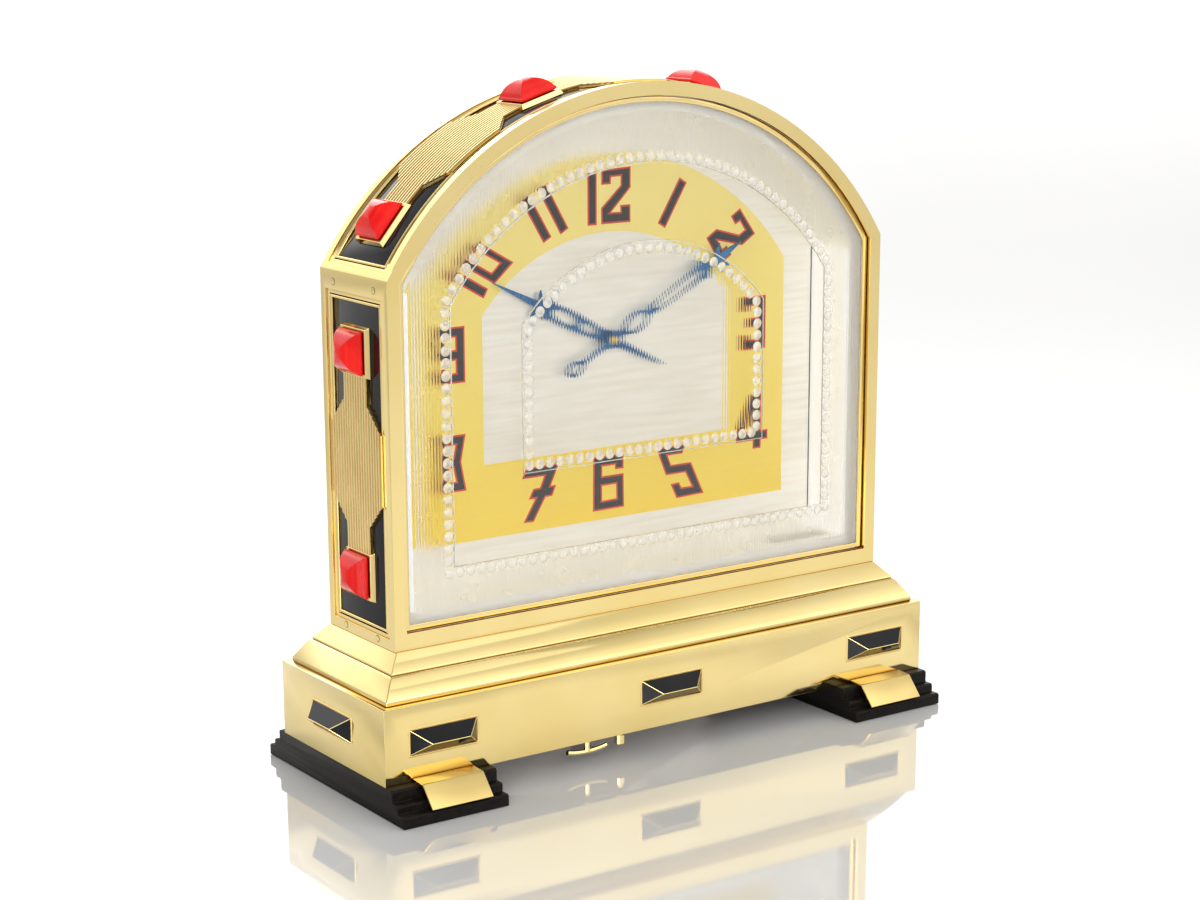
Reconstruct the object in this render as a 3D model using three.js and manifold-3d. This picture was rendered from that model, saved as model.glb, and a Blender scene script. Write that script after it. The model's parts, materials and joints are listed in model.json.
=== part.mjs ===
// A night clock: gilt arched case on a stepped base, lit dial, movement in the plinth.
// Millimetres, +Z up, front faces -Y, origin on the table under the middle of the clock.
import * as THREE from 'three';
import { mergeVertices } from 'three/addons/utils/BufferGeometryUtils.js';
import Module from 'manifold-3d';

const wasm = await Module();
wasm.setup();

// Clearances
const gap = 0.3;            // between pieces that are set into each other
const slip = 0.15;          // between a pipe or arbor and what is fixed on it
const running = 0.35;       // radial play of an arbor in its hole
const overrun = 2;          // how far a cutter reaches past what it cuts

// Feet and their straps
const footHeight = 9.56;
const footWidth = 34.9;
const footLowStep = 3.51;
const footMidStep = 6.0;
const footLowReach = 10.02;
const footMidReach = 6.74;
const footTopReach = 3.64;
const footEdge = 0.5;
const strapWidth = 20.3;
const strapInset = 8.9;
const strapThickness = 1.1;
const strapFoldReach = 5.5;
const strapReach = 10.9;

// Plinth
const plinthWidth = 200;
const plinthDepth = 60.56;
const plinthHeight = 22.68;
const plinthWall = 1.6;
const basePlateThickness = 1.6;
const inlayWidth = 22.2;
const inlayHeight = 7.3;
const inlayProud = 4.6;
const inlayHip = 4.8;
const inlayPocket = 0.8;
const inlayRim = 0.45;
const inlayRimProud = 0.3;
const inlayRise = 11.7;
const inlayInset = 19.4;          // from the end of the plinth to the middle of an outer inlay

// Mouldings between plinth and case
const lowerMouldingInset = 2.2;
const lowerMouldingBand = 1.3;
const lowerMouldingRun = 3.6;
const lowerMouldingTread = 0.9;
const lowerMouldingHeight = 7.22;
const upperMouldingInset = 6.7;
const upperMouldingBand = 0.55;
const upperMouldingRun = 3.7;
const upperMouldingTread = 0.5;
const upperMouldingHeight = 5.17;
const mouldingEdgeDrop = 0.5;
const mouldingOpeningWidth = 158;
const mouldingOpeningDepth = 32.4;

// Case
const caseWidth = 178.74;
const caseDepth = 37.88;
const archRadius = 104;
const archRise = 52.97;     // from the bottom of the case to the centre of the arch
const caseWall = 4.1;
const caseFloor = 4.9;
const archSegments = 44;
const ledgeReach = 3;
const ledgeHeight = 8;
const ledgeDepth = 1.5;

// Panels, ornaments and stones
const panelWidth = 28.5;
const panelThickness = 1.4;
const panelRecess = 0.92;
const rebateWidth = 32.4;
const rebateDepth = 0.45;
const rebateMargin = 1.5;
const sidePanelBottom = 4.6;      // above the bottom of the case
const sidePanelHeight = 94.4;
const archPanelAngle = 57.2;      // half of the arc that the top panel covers, in degrees
const ornamentThickness = 0.8;
const settingSize = 13.5;
const settingHeight = 1.5;
const settingSpacing = 65;        // between the two stones of a side
const settingArc = 33.2;          // between neighbouring stones of the arch, in degrees
const neckWidth = 13;
const waistLength = 20.6;         // the stretch of a strap that has the full panel width
const neckStart = 36;             // between the two places where a strap starts to widen
const stoneSize = 12.6;
const stoneHeight = 4.8;
const stoneBulge = 0.25;
const stoneFullness = 2.2;
const arcStep = 3;               // degrees between the rings of a curved slab
const stoneSeat = 0.1;            // between a stone or curved ornament and its seat

// Glass, bezel, liner and dial
const bezelRecess = 1.4;
const bezelWidth = 1.9;
const bezelThickness = 0.8;
const glassRecess = 1.74;
const glassThickness = 5;
const glassBevel = 4.2;
const glassBevelDrop = 1.0;
const linerWall = 4.2;
const dialRecess = 23.5;
const dialThickness = 1;
const ringThickness = 0.3;
const ringOuterHalf = 67.8;
const ringInnerHalf = 45.2;
const ringOuterRadius = 81.6;
const ringInnerRadius = 58.4;
const ringRise = 22.7;            // heights above the bottom of the case
const ringInnerRise = 45.2;
const handRise = 78.7;

// Rear door
const doorThickness = 1.6;
const doorLip = 0.3;
const doorRadius = 1.6;           // of a hinge knuckle
const doorPinRadius = 0.6;
const pinHead = 0.8;
const knuckleLength = 6;
const hingeLowRise = 27.4;
const hingeHighRise = 87.4;
const hingeStandoff = 2.0;
const doorKnobX = 74;
const doorKnobStem = 1.4;
const doorKnobRadius = 3.4;
const doorKnobLength = 5;

// Movement in the plinth
const plateThickness = 1.2;
const movementWidth = 92;
const movementBack = 27;
const movementFront = -20.5;
const lowerPlateLift = 1.1;
const platesApart = 13.2;
const pillarRadius = 2;
const pivotRadius = 0.6;
const barrelArborRadius = 2;
const greatLift = 1.5;            // heights of the wheels above the lower plate
const thirdLift = 4.2;
const centreLift = 8.7;
const windingLift = 11.1;
const earHalf = 4;
const earFront = 2.6;
const pillarInset = 2.5;
const arborRadius = 1.2;
const shaftBack = 12.8;           // the drive shaft's distance behind the middle of the clock
const barrelAngle = 201;
const barrelDrumRadius = 16;
const barrelDrumHeight = 5;
const gearThickness = 1.0;
const greatTeeth = 36;
const shaftPinionTeeth = 6;
const greatModule = 1;
const centreTeeth = 48;
const thirdPinionTeeth = 6;
const centreModule = 0.6;
const thirdTeeth = 40;
const thirdModule = 0.5;
const thirdAngle = -35;
const keyX = -28;
const keyY = -25.5;
const keyPinionTeeth = 6;
const windingTeeth = 24;
const ratchetTeeth = 42;
const windingModule = 0.7;
const keyBarLength = 14;
const keyBarRadius = 0.8;
const keyBarLift = 5;
const keyStemRadius = 1.1;
const keyCollarRadius = 2;
const balanceRadius = 6.5;
const balanceRim = 1.2;
const platformX = 35;
const platformY = 3;
const platformWidth = 15;
const platformDepth = 22;
const platformHeight = 7.6;

// Motion work behind the dial
const bevelTeeth = 12;
const bevelRadius = 3;
const bevelFace = 1.2;
const cannonTeeth = 8;
const minuteWheelTeeth = 24;
const minutePinionTeeth = 6;
const hourWheelTeeth = 24;
const cannonModule = 0.5;
const wheelThickness = 0.8;
const layerGap = 0.4;
const shelfHalf = 2.6;
const shelfThickness = 1.5;
const nutLength = 1.0;
const minuteArborRadius = 0.9;
const minuteStudRadius = 0.45;
const minuteStudPlay = 0.2;
const pipeRadius = 1.9;
const bracketThickness = 0.8;
const bracketWidth = 29;
const bracketHeight = 20;
const settingKnobRadius = 4.6;
const settingKnobThickness = 0.7;

// Hands
const handThickness = 0.5;
const handWidth = 3.3;            // half the width across a hand's leaves
const openingEnd = 0.12;          // width of an opening's ends, as a share of its middle
const minuteLength = 55.2;
const minuteAngle = 61.5;
const hourLength = 47;
const hourAngle = -63.8;
const hourTail = 22;
const minuteTail = 19;
const handGap = 0.9;

// Lamp and its switch
const buttonX = -16;
const buttonRadius = 1.6;
const buttonStemRadius = 1.1;
const buttonHead = 2.7;
const buttonStemTop = 14.5;
const buttonLift = 5.3;
const buttonTravel = 1.2;
const switchSize = 6;
const switchHeight = 7;
const lampInset = 34;             // from the end of the plinth
const lampLength = 26;
const lampHeight = 12.4;          // of the lamp's axis above the base plate
const lampPostWidth = 2.7;
const lampBlockHeight = 3;
const lampRadius = 4;
const lightSlotWidth = 24;
const lightSlotDepth = 9;
const lightSlotY = -5;
const bushInset = 20;
const bushRadius = 4;
const bushBore = 1.8;
const bushFlange = 5.4;

// Finishes
const gilt = { color: 0xe8c468, roughness: 0.22, metalness: 1 };
const giltReeded = { color: 0xdcb65a, roughness: 0.32, metalness: 1 };
const brass = { color: 0xc79a4b, roughness: 0.35, metalness: 1 };
const blackPolish = { color: 0x0b0b0e, roughness: 0.06, metalness: 0 };
const ebony = { color: 0x0d0c0b, roughness: 0.45, metalness: 0 };
const redStone = { color: 0xe2170f, roughness: 0.12, metalness: 0 };
const clearGlass = { color: 0xf2f4ef, roughness: 0.04, metalness: 0, transparent: true, opacity: 0.35 };
const silvered = { color: 0xdedad0, roughness: 0.35, metalness: 0.8 };
const yellowEnamel = { color: 0xf2cf63, roughness: 0.4, metalness: 0 };
const whitePaint = { color: 0xf3f1ea, roughness: 0.6, metalness: 0 };
const blueSteel = { color: 0x1f4d8c, roughness: 0.2, metalness: 1 };
const steel = { color: 0xb4b6b8, roughness: 0.3, metalness: 1 };
const darkPlastic = { color: 0x1c1a18, roughness: 0.5, metalness: 0 };

// Levels and planes that follow from the dimensions
const plinthTop = footHeight + plinthHeight;
const inlaySpread = plinthWidth / 2 - inlayInset;
const lampX = plinthWidth / 2 - lampInset;
const bushX = plinthWidth / 2 - bushInset;
const lowerMouldingTop = plinthTop + lowerMouldingHeight;
const caseBottom = lowerMouldingTop + upperMouldingHeight;
const archCentre = caseBottom + archRise;
const caseFront = -caseDepth / 2;
const caseBack = caseDepth / 2;
const plinthFront = -plinthDepth / 2;
const cavityHalf = caseWidth / 2 - caseWall;
const cavityBottom = caseBottom + caseFloor;
const cavityRadius = archRadius - caseWall;
const glassFront = caseFront + glassRecess;
const glassBack = glassFront + glassThickness;
const dialFront = caseFront + dialRecess;
const dialBack = dialFront + dialThickness;
const doorBack = caseBack;
const doorFront = doorBack - doorThickness;
const basePlateTop = footHeight + basePlateThickness;
const lowerPlateBottom = basePlateTop + lowerPlateLift;
const lowerPlateTop = lowerPlateBottom + plateThickness;
const upperPlateBottom = lowerPlateTop + platesApart;
const upperPlateTop = upperPlateBottom + plateThickness;
const handHeight = caseBottom + handRise;
const sideCentre = caseBottom + sidePanelBottom + sidePanelHeight / 2;

const clock = new THREE.Group();
const radians = THREE.MathUtils.degToRad;

// Solids and booleans
function dropEmptyFaces(geometry) {
  const kept = [];
  for (let k = 0; k < geometry.index.count; k += 3) {
    const face = [0, 1, 2].map((corner) => geometry.index.getX(k + corner));
    if (new Set(face).size === 3) kept.push(...face);
  }
  geometry.setIndex(kept);
}

function solid(geometry) {
  const bare = geometry.index ? geometry.toNonIndexed() : geometry.clone();
  for (const name of Object.keys(bare.attributes)) {
    if (name !== 'position') bare.deleteAttribute(name);
  }
  const merged = mergeVertices(bare, 1e-4);
  dropEmptyFaces(merged);
  const mesh = new wasm.Mesh({
    numProp: 3,
    vertProperties: new Float32Array(merged.attributes.position.array),
    triVerts: new Uint32Array(merged.index.array),
  });
  return new wasm.Manifold(mesh);
}

function geometryOf(body) {
  const mesh = body.getMesh();
  const geometry = new THREE.BufferGeometry();
  geometry.setAttribute('position', new THREE.BufferAttribute(new Float32Array(mesh.vertProperties), 3));
  geometry.setIndex(new THREE.BufferAttribute(new Uint32Array(mesh.triVerts), 1));
  return geometry;
}

function join(...bodies) {
  return bodies.reduce((whole, body) => whole.add(body));
}

function cut(body, ...tools) {
  return tools.reduce((rest, tool) => rest.subtract(tool), body);
}

function add(name, body, finish) {
  const geometry = geometryOf(body);
  geometry.computeVertexNormals();
  const mesh = new THREE.Mesh(geometry, new THREE.MeshStandardMaterial(finish));
  mesh.name = name;
  clock.add(mesh);
  return mesh;
}

// Basic shapes
function box(x0, x1, y0, y1, z0, z1) {
  const geometry = new THREE.BoxGeometry(x1 - x0, y1 - y0, z1 - z0);
  geometry.translate((x0 + x1) / 2, (y0 + y1) / 2, (z0 + z1) / 2);
  return solid(geometry);
}

function extrude(shape, depth) {
  return new THREE.ExtrudeGeometry(shape, { depth, bevelEnabled: false, curveSegments: 8 });
}

// A shape drawn in X and Y, standing from z0 to z1
function prismZ(shape, z0, z1) {
  const geometry = extrude(shape, z1 - z0);
  geometry.translate(0, 0, z0);
  return solid(geometry);
}

// A shape drawn in X and Z, running from y0 back to y1
function prismY(shape, y0, y1) {
  const geometry = extrude(shape, y1 - y0);
  geometry.rotateX(Math.PI / 2);
  geometry.translate(0, y1, 0);
  return solid(geometry);
}

// A shape drawn in Y and Z, running from x0 to x1
function prismX(shape, x0, x1) {
  const geometry = extrude(shape, x1 - x0);
  const turn = new THREE.Matrix4().makeBasis(
    new THREE.Vector3(0, 1, 0), new THREE.Vector3(0, 0, 1), new THREE.Vector3(1, 0, 0));
  geometry.applyMatrix4(turn);
  geometry.translate(x0, 0, 0);
  return solid(geometry);
}

function polygon(points) {
  return new THREE.Shape(points.map(([u, v]) => new THREE.Vector2(u, v)));
}

function disc(radius, sides, u = 0, v = 0, turn = 0) {
  const points = [];
  for (let k = 0; k < sides; k += 1) {
    const angle = turn + (2 * Math.PI * k) / sides;
    points.push([u + radius * Math.cos(angle), v + radius * Math.sin(angle)]);
  }
  return polygon(points);
}

// A hole whose flats, not its corners, stand at the given radius
function holeDisc(radius, sides, u = 0, v = 0) {
  return disc(radius / Math.cos(Math.PI / sides), sides, u, v);
}

// A closed skin over rings of points; every ring runs the same way round the path
function loftGeometry(rings) {
  const positions = [];
  const face = (...points) => points.forEach((point) => positions.push(...point));
  const count = rings[0].length;
  for (let k = 0; k + 1 < rings.length; k += 1) {
    for (let i = 0; i < count; i += 1) {
      const j = (i + 1) % count;
      const [a, b] = [rings[k][i], rings[k][j]];
      const [c, d] = [rings[k + 1][j], rings[k + 1][i]];
      face(a, b, c);
      face(a, c, d);
    }
  }
  const first = rings[0];
  const last = rings[rings.length - 1];
  for (let i = 1; i + 1 < count; i += 1) {
    face(first[0], first[i + 1], first[i]);
    face(last[0], last[i], last[i + 1]);
  }
  const geometry = new THREE.BufferGeometry();
  geometry.setAttribute('position', new THREE.BufferAttribute(new Float32Array(positions), 3));
  return geometry;
}

function loft(rings) {
  return solid(loftGeometry(rings));
}

// An arched outline in X and Z with straight sides, anticlockwise from the front
function tombstone(half, bottom, radius, centre = archCentre) {
  const lean = Math.asin(half / radius);
  const points = [[-half, bottom], [half, bottom]];
  for (let k = 0; k <= archSegments; k += 1) {
    const angle = lean - (2 * lean * k) / archSegments;
    points.push([radius * Math.sin(angle), centre + radius * Math.cos(angle)]);
  }
  return points;
}

// The outline of the case, drawn in all round by a given amount
function caseOutline(inset) {
  return tombstone(caseWidth / 2 - inset, caseBottom + inset, archRadius - inset);
}

// The outline of what fills the hollow of the case, drawn in all round
function cavityOutline(inset) {
  return tombstone(cavityHalf - inset, cavityBottom + inset, cavityRadius - inset);
}

function plate(outline, y0, y1) {
  return prismY(polygon(outline), y0, y1);
}

// A stretch of a ring round the arch, in degrees from the top, as a closed outline
function arcBand(inner, outer, from, to, steps) {
  const points = [];
  const at = (radius, degrees) => [radius * Math.sin(radians(degrees)),
    archCentre + radius * Math.cos(radians(degrees))];
  for (let k = 0; k <= steps; k += 1) points.push(at(outer, to - ((to - from) * k) / steps));
  for (let k = 0; k <= steps; k += 1) points.push(at(inner, from + ((to - from) * k) / steps));
  return points;
}

// Feet: stepped at front and back, the outer side flush with the plinth
function footProfile() {
  const half = plinthDepth / 2;
  const steps = [[half + footLowReach, footLowStep], [half + footMidReach, footMidStep],
    [half + footTopReach, footHeight]];
  const right = [[steps[0][0], 0]];
  for (const [reach, top] of steps) {
    if (right.length > 1) right.push([reach, right[right.length - 1][1]]);
    right.push([reach, top - footEdge]);
    right.push([reach - footEdge, top]);
  }
  const left = right.map(([y, z]) => [-y, z]).reverse();
  return polygon([...right, ...left]);
}

function makeFeet() {
  const outer = plinthWidth / 2;
  add('foot_right', prismX(footProfile(), outer - footWidth, outer), ebony);
  add('foot_left', prismX(footProfile(), -outer, footWidth - outer), ebony);
}

// A bent strap that lies on the top step and slopes down over the lower ones
function strapProfile(side) {
  const face = plinthDepth / 2;
  const topStep = footHeight + strapThickness;
  const fold = face + strapFoldReach;
  const end = face + strapReach;
  const foot = footLowStep + strapThickness;
  const points = [[face, footHeight], [fold - strapThickness / 2, footHeight],
    [end - strapThickness, footLowStep + gap], [end, foot - gap], [fold, topStep - gap], [face, topStep]];
  return polygon(points.map(([y, z]) => [side * y, z]));
}

function makeFootStraps() {
  const inner = plinthWidth / 2 - strapInset - strapWidth;
  for (const [end, side] of [['front', -1], ['rear', 1]]) {
    const profile = strapProfile(side);
    add(`foot_strap_${end}_right`, prismX(profile, inner, inner + strapWidth), gilt);
    add(`foot_strap_${end}_left`, prismX(profile, -inner - strapWidth, -inner), gilt);
  }
}

// Inlays: where each one sits on the plinth, and the turn that points it outwards
const inlayZ = footHeight + inlayRise;
const inlayPlaces = {
  inlay_front_left: [-inlaySpread, plinthFront, 0],
  inlay_front_middle: [0, plinthFront, 0],
  inlay_front_right: [inlaySpread, plinthFront, 0],
  inlay_end_left: [-plinthWidth / 2, 0, -Math.PI / 2],
  inlay_end_right: [plinthWidth / 2, 0, Math.PI / 2],
};

function rectangle(halfX, halfZ, y) {
  return [[-halfX, y, -halfZ], [halfX, y, -halfZ], [halfX, y, halfZ], [-halfX, y, halfZ]];
}

// A hipped block whose base lies in the pocket and whose ridge stands proud towards -Y
function inlayBody() {
  const halfX = inlayWidth / 2;
  const halfZ = inlayHeight / 2;
  const ridge = stoneSeat;
  return loft([rectangle(halfX, halfZ, inlayPocket - stoneSeat), rectangle(halfX, halfZ, 0),
    rectangle(halfX - inlayHip, ridge, -inlayProud)]);
}

function makeInlays() {
  for (const [name, [x, y, turn]] of Object.entries(inlayPlaces)) {
    const mesh = add(name, inlayBody(), blackPolish);
    mesh.position.set(x, y, inlayZ);
    mesh.rotation.z = turn;
  }
}

// A box with a square footprint measured along a wall, for pockets and rims
function wallBox([x, y, turn], half, halfZ, inward, outward) {
  const along = Math.abs(Math.cos(turn)) > 0.5;
  if (along) return box(x - half, x + half, y - outward, y + inward, inlayZ - halfZ, inlayZ + halfZ);
  const out = Math.sign(x);
  const ends = [x - out * inward, x + out * outward].sort((a, b) => a - b);
  return box(ends[0], ends[1], y - half, y + half, inlayZ - halfZ, inlayZ + halfZ);
}

function lightSlot(z0, z1) {
  const half = lightSlotWidth / 2;
  const depth = lightSlotDepth / 2;
  return box(lampX - half, lampX + half, lightSlotY - depth, lightSlotY + depth, z0, z1);
}

function shaftHole(z0, z1) {
  return prismZ(holeDisc(arborRadius + gap, 8, 0, shaftBack), z0, z1);
}

function makePlinth() {
  const [halfX, halfY] = [plinthWidth / 2, plinthDepth / 2];
  const ceiling = plinthTop - plinthWall;
  let body = box(-halfX, halfX, -halfY, halfY, footHeight, plinthTop);
  body = cut(body, box(plinthWall - halfX, halfX - plinthWall, plinthWall - halfY, halfY - plinthWall,
    footHeight - overrun, ceiling));
  for (const place of Object.values(inlayPlaces)) {
    const half = inlayWidth / 2 + stoneSeat;
    const halfZ = inlayHeight / 2 + stoneSeat;
    body = join(body, wallBox(place, half + inlayRim, halfZ + inlayRim, inlayPocket, inlayRimProud));
    body = cut(body, wallBox(place, half, halfZ, inlayPocket, overrun));
  }
  body = cut(body, lightSlot(ceiling - overrun, plinthTop + overrun));
  body = cut(body, shaftHole(ceiling - overrun, plinthTop + overrun));
  const bushHole = prismY(holeDisc(bushRadius, 12, bushX, inlayZ),
    halfY - plinthWall - overrun, halfY + overrun);
  add('plinth', cut(body, bushHole), gilt);
}

function makeBasePlate() {
  const halfX = plinthWidth / 2 - plinthWall - gap;
  const halfY = plinthDepth / 2 - plinthWall - gap;
  const body = box(-halfX, halfX, -halfY, halfY, footHeight, basePlateTop);
  const keyHole = prismZ(holeDisc(keyStemRadius + running, 8, keyX, keyY), 0, basePlateTop + overrun);
  const buttonHole = prismZ(holeDisc(buttonStemRadius + running, 8, buttonX, keyY),
    0, basePlateTop + overrun);
  add('base_plate', cut(body, keyHole, buttonHole), gilt);
}

// Mouldings: frames with a bevelled outer side
function mouldingFrame(z0, height, inset, band, run, tread) {
  const profile = [[inset, 0], [inset, band], [inset + run, height - mouldingEdgeDrop],
    [inset + run + tread, height]];
  const ring = ([drawnIn, rise]) => {
    const [x, y] = [plinthWidth / 2 - drawnIn, plinthDepth / 2 - drawnIn];
    return [[-x, -y, z0 + rise], [x, -y, z0 + rise], [x, y, z0 + rise], [-x, y, z0 + rise]];
  };
  const [openX, openY] = [mouldingOpeningWidth / 2, mouldingOpeningDepth / 2];
  return cut(loft(profile.map(ring)),
    box(-openX, openX, -openY, openY, z0 - overrun, z0 + height + overrun));
}

function makeMouldings() {
  add('lower_moulding', mouldingFrame(plinthTop, lowerMouldingHeight, lowerMouldingInset,
    lowerMouldingBand, lowerMouldingRun, lowerMouldingTread), gilt);
  add('upper_moulding', mouldingFrame(lowerMouldingTop, upperMouldingHeight, upperMouldingInset,
    upperMouldingBand, upperMouldingRun, upperMouldingTread), gilt);
}

// Case: an arched tube with recesses on both sides and over the arch
const caseHalf = caseWidth / 2;
const panelFloor = panelRecess + panelThickness;
const sideBottom = caseBottom + sidePanelBottom;
const sideTop = sideBottom + sidePanelHeight;
const arcSteps = 38;

function sideBox(side, inward, outward, halfY, z0, z1) {
  const ends = [side * (caseHalf - inward), side * (caseHalf + outward)].sort((a, b) => a - b);
  return box(ends[0], ends[1], -halfY, halfY, z0, z1);
}

function archBand(inward, outward, halfY, angle) {
  const outline = arcBand(archRadius - inward, archRadius + outward, -angle, angle, arcSteps);
  return prismY(polygon(outline), -halfY, halfY);
}

function panelRecesses() {
  const rebateHalf = rebateWidth / 2;
  const pocketHalf = panelWidth / 2 + stoneSeat;
  const pocketDepth = panelFloor + gap;
  const marginAngle = THREE.MathUtils.radToDeg(rebateMargin / archRadius);
  const seatAngle = THREE.MathUtils.radToDeg(gap / archRadius);
  const tools = [archBand(rebateDepth, overrun, rebateHalf, archPanelAngle + marginAngle),
    archBand(pocketDepth, overrun, pocketHalf, archPanelAngle + seatAngle)];
  for (const side of [-1, 1]) {
    tools.push(sideBox(side, rebateDepth, overrun, rebateHalf,
      sideBottom - rebateMargin, sideTop + rebateMargin));
    tools.push(sideBox(side, pocketDepth, overrun, pocketHalf, sideBottom - gap, sideTop + gap));
  }
  return tools;
}

// Small ledges on the inner walls, against which a plate is seated
function ledges(y0, y1) {
  const blocks = [];
  for (const z of [caseBottom + hingeLowRise, caseBottom + hingeHighRise]) {
    for (const side of [-1, 1]) {
      const ends = [side * (cavityHalf - ledgeReach), side * (cavityHalf + caseWall / 4)];
      ends.sort((a, b) => a - b);
      blocks.push(box(ends[0], ends[1], y0, y1, z - ledgeHeight / 2, z + ledgeHeight / 2));
    }
  }
  return blocks;
}

// Door hinges: the axis stands behind the left wall of the case
const hingeX = -cavityHalf - slip;
const hingeY = caseBack + hingeStandoff;
const hingeHeights = { lower: caseBottom + hingeLowRise, upper: caseBottom + hingeHighRise };

// A knuckle at the given height, on an arm that reaches into its leaf at x0..x1
function knuckle(z, x0, x1, leafBack) {
  const [z0, z1] = [z - knuckleLength / 2, z + knuckleLength / 2];
  const barrel = prismZ(disc(doorRadius, 12, hingeX, hingeY), z0, z1);
  return join(barrel, box(x0, x1, leafBack - doorLip, hingeY, z0, z1));
}

function knuckleBore() {
  return prismZ(holeDisc(doorPinRadius + slip, 12, hingeX, hingeY), caseBottom, archCentre + archRadius);
}

function caseKnuckles() {
  const reach = doorRadius + doorLip;
  const apart = knuckleLength + gap;
  const parts = [];
  for (const z of Object.values(hingeHeights)) {
    parts.push(knuckle(z - apart, hingeX - reach, hingeX, caseBack));
    parts.push(knuckle(z + apart, hingeX - reach, hingeX, caseBack));
  }
  return parts;
}

function makeCaseBody() {
  let body = plate(caseOutline(0), caseFront, caseBack);
  body = cut(body, plate(cavityOutline(0), caseFront - overrun, caseBack + overrun));
  body = cut(body, ...panelRecesses());
  body = cut(body, lightSlot(caseBottom - overrun, cavityBottom + overrun));
  body = cut(body, shaftHole(caseBottom - overrun, cavityBottom + overrun));
  body = join(body, ...ledges(dialBack, dialBack + ledgeDepth));
  body = join(body, ...ledges(doorFront - gap - ledgeDepth, doorFront - gap));
  body = cut(join(body, ...caseKnuckles()), knuckleBore());
  add('case_body', body, gilt);
}

// Black panels in the recesses
function makePanels() {
  const halfY = panelWidth / 2;
  add('panel_left', sideBox(-1, panelFloor, -panelRecess, halfY, sideBottom, sideTop), blackPolish);
  add('panel_right', sideBox(1, panelFloor, -panelRecess, halfY, sideBottom, sideTop), blackPolish);
  add('panel_arch', archBand(panelFloor, -panelRecess, halfY, archPanelAngle), blackPolish);
}

// Half the width of a strap at a distance from its middle
function strapStations(scale) {
  const half = panelWidth / 2 - stoneSeat;
  const neck = neckWidth / 2;
  const end = (settingSpacing - settingSize) / 2 + settingSize / 4;
  return [[-end, neck], [-neckStart / 2, neck], [-waistLength / 2, half], [waistLength / 2, half],
    [neckStart / 2, neck], [end, neck]].map(([along, width]) => [along * scale, width]);
}

function makeSideOrnament(name, side) {
  const stations = strapStations(1);
  const outline = [...stations.map(([along, half]) => [half, sideCentre + along]),
    ...stations.map(([along, half]) => [-half, sideCentre + along]).reverse()];
  const level = (height) => side * (caseHalf - panelRecess + height);
  const [floor, top, seat] = [level(0), level(ornamentThickness), level(settingHeight)];
  let body = prismX(polygon(outline), Math.min(floor, top), Math.max(floor, top));
  for (const end of [-1, 1]) {
    const z = sideCentre + (end * settingSpacing) / 2;
    const half = settingSize / 2;
    body = join(body, box(Math.min(floor, seat), Math.max(floor, seat), -half, half, z - half, z + half));
  }
  add(name, body, giltReeded);
}

// A curved slab over the arch whose half width changes along the stations
function arcSlab(height, stations) {
  const inner = archRadius - panelRecess + stoneSeat;
  const outer = inner + height - stoneSeat;
  const rings = [];
  const ring = (degrees, half) => [[inner, -half], [inner, half], [outer, half], [outer, -half]]
    .map(([radius, y]) => [radius * Math.sin(radians(degrees)), y,
      archCentre + radius * Math.cos(radians(degrees))]);
  for (let k = 0; k + 1 < stations.length; k += 1) {
    const [[from, halfFrom], [to, halfTo]] = [stations[k], stations[k + 1]];
    const steps = Math.max(1, Math.round((to - from) / arcStep));
    for (let i = 0; i < steps; i += 1) {
      const share = i / steps;
      rings.push(ring(from + (to - from) * share, halfFrom + (halfTo - halfFrom) * share));
    }
  }
  rings.push(ring(...stations[stations.length - 1]));
  return loft(rings);
}

function stoneAngles() {
  return [-1.5, -0.5, 0.5, 1.5].map((place) => place * settingArc);
}

function makeArchOrnament() {
  const perMillimetre = THREE.MathUtils.radToDeg(1 / (archRadius - panelRecess));
  const half = (settingSize / 2) * perMillimetre;
  const parts = [];
  const reach = (settingArc / perMillimetre) / settingSpacing;
  for (const middle of [-settingArc, 0, settingArc]) {
    const stations = strapStations(perMillimetre * reach);
    parts.push(arcSlab(ornamentThickness, stations.map(([along, width]) => [middle + along, width])));
  }
  for (const angle of stoneAngles()) {
    parts.push(arcSlab(settingHeight, [[angle - half, settingSize / 2], [angle + half, settingSize / 2]]));
  }
  add('ornament_arch', join(...parts), giltReeded);
}

// A stone: four domed faces that meet in ridges at a point
function stoneBody() {
  const levels = [0, 0.3, 0.55, 0.75, 0.9, 0.985];
  const rings = levels.map((share) => {
    const half = (stoneSize / 2) * (1 - share ** stoneFullness);
    const middle = half + stoneBulge * (1 - share);
    const z = share * stoneHeight;
    return [[-half, -half], [0, -middle], [half, -half], [middle, 0], [half, half], [0, middle],
      [-half, half], [-middle, 0]].map(([x, y]) => [x, y, z]);
  });
  return loft(rings);
}

function makeStones() {
  const sideSeat = caseHalf - panelRecess + settingHeight + stoneSeat;
  for (const [sideName, side] of [['left', -1], ['right', 1]]) {
    for (const [endName, end] of [['lower', -1], ['upper', 1]]) {
      const mesh = add(`stone_${sideName}_${endName}`, stoneBody(), redStone);
      mesh.position.set(side * sideSeat, 0, sideCentre + (end * settingSpacing) / 2);
      mesh.rotation.y = (side * Math.PI) / 2;
    }
  }
  const archSeat = archRadius - panelRecess + settingHeight + stoneSeat;
  stoneAngles().forEach((degrees, index) => {
    const mesh = add(`stone_arch_${index + 1}`, stoneBody(), redStone);
    const angle = radians(degrees);
    mesh.position.set(archSeat * Math.sin(angle), 0, archCentre + archSeat * Math.cos(angle));
    mesh.rotation.y = angle;
  });
}

// Front: bezel, glass, liner, dial and chapter ring, one behind the other
function frameOf(outer, inner, y0, y1) {
  return cut(plate(outer, y0, y1), plate(inner, y0 - overrun, y1 + overrun));
}

function makeBezel() {
  const front = caseFront + bezelRecess;
  const body = frameOf(cavityOutline(gap), cavityOutline(bezelWidth), front, front + bezelThickness);
  add('glass_bezel', body, gilt);
}

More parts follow.
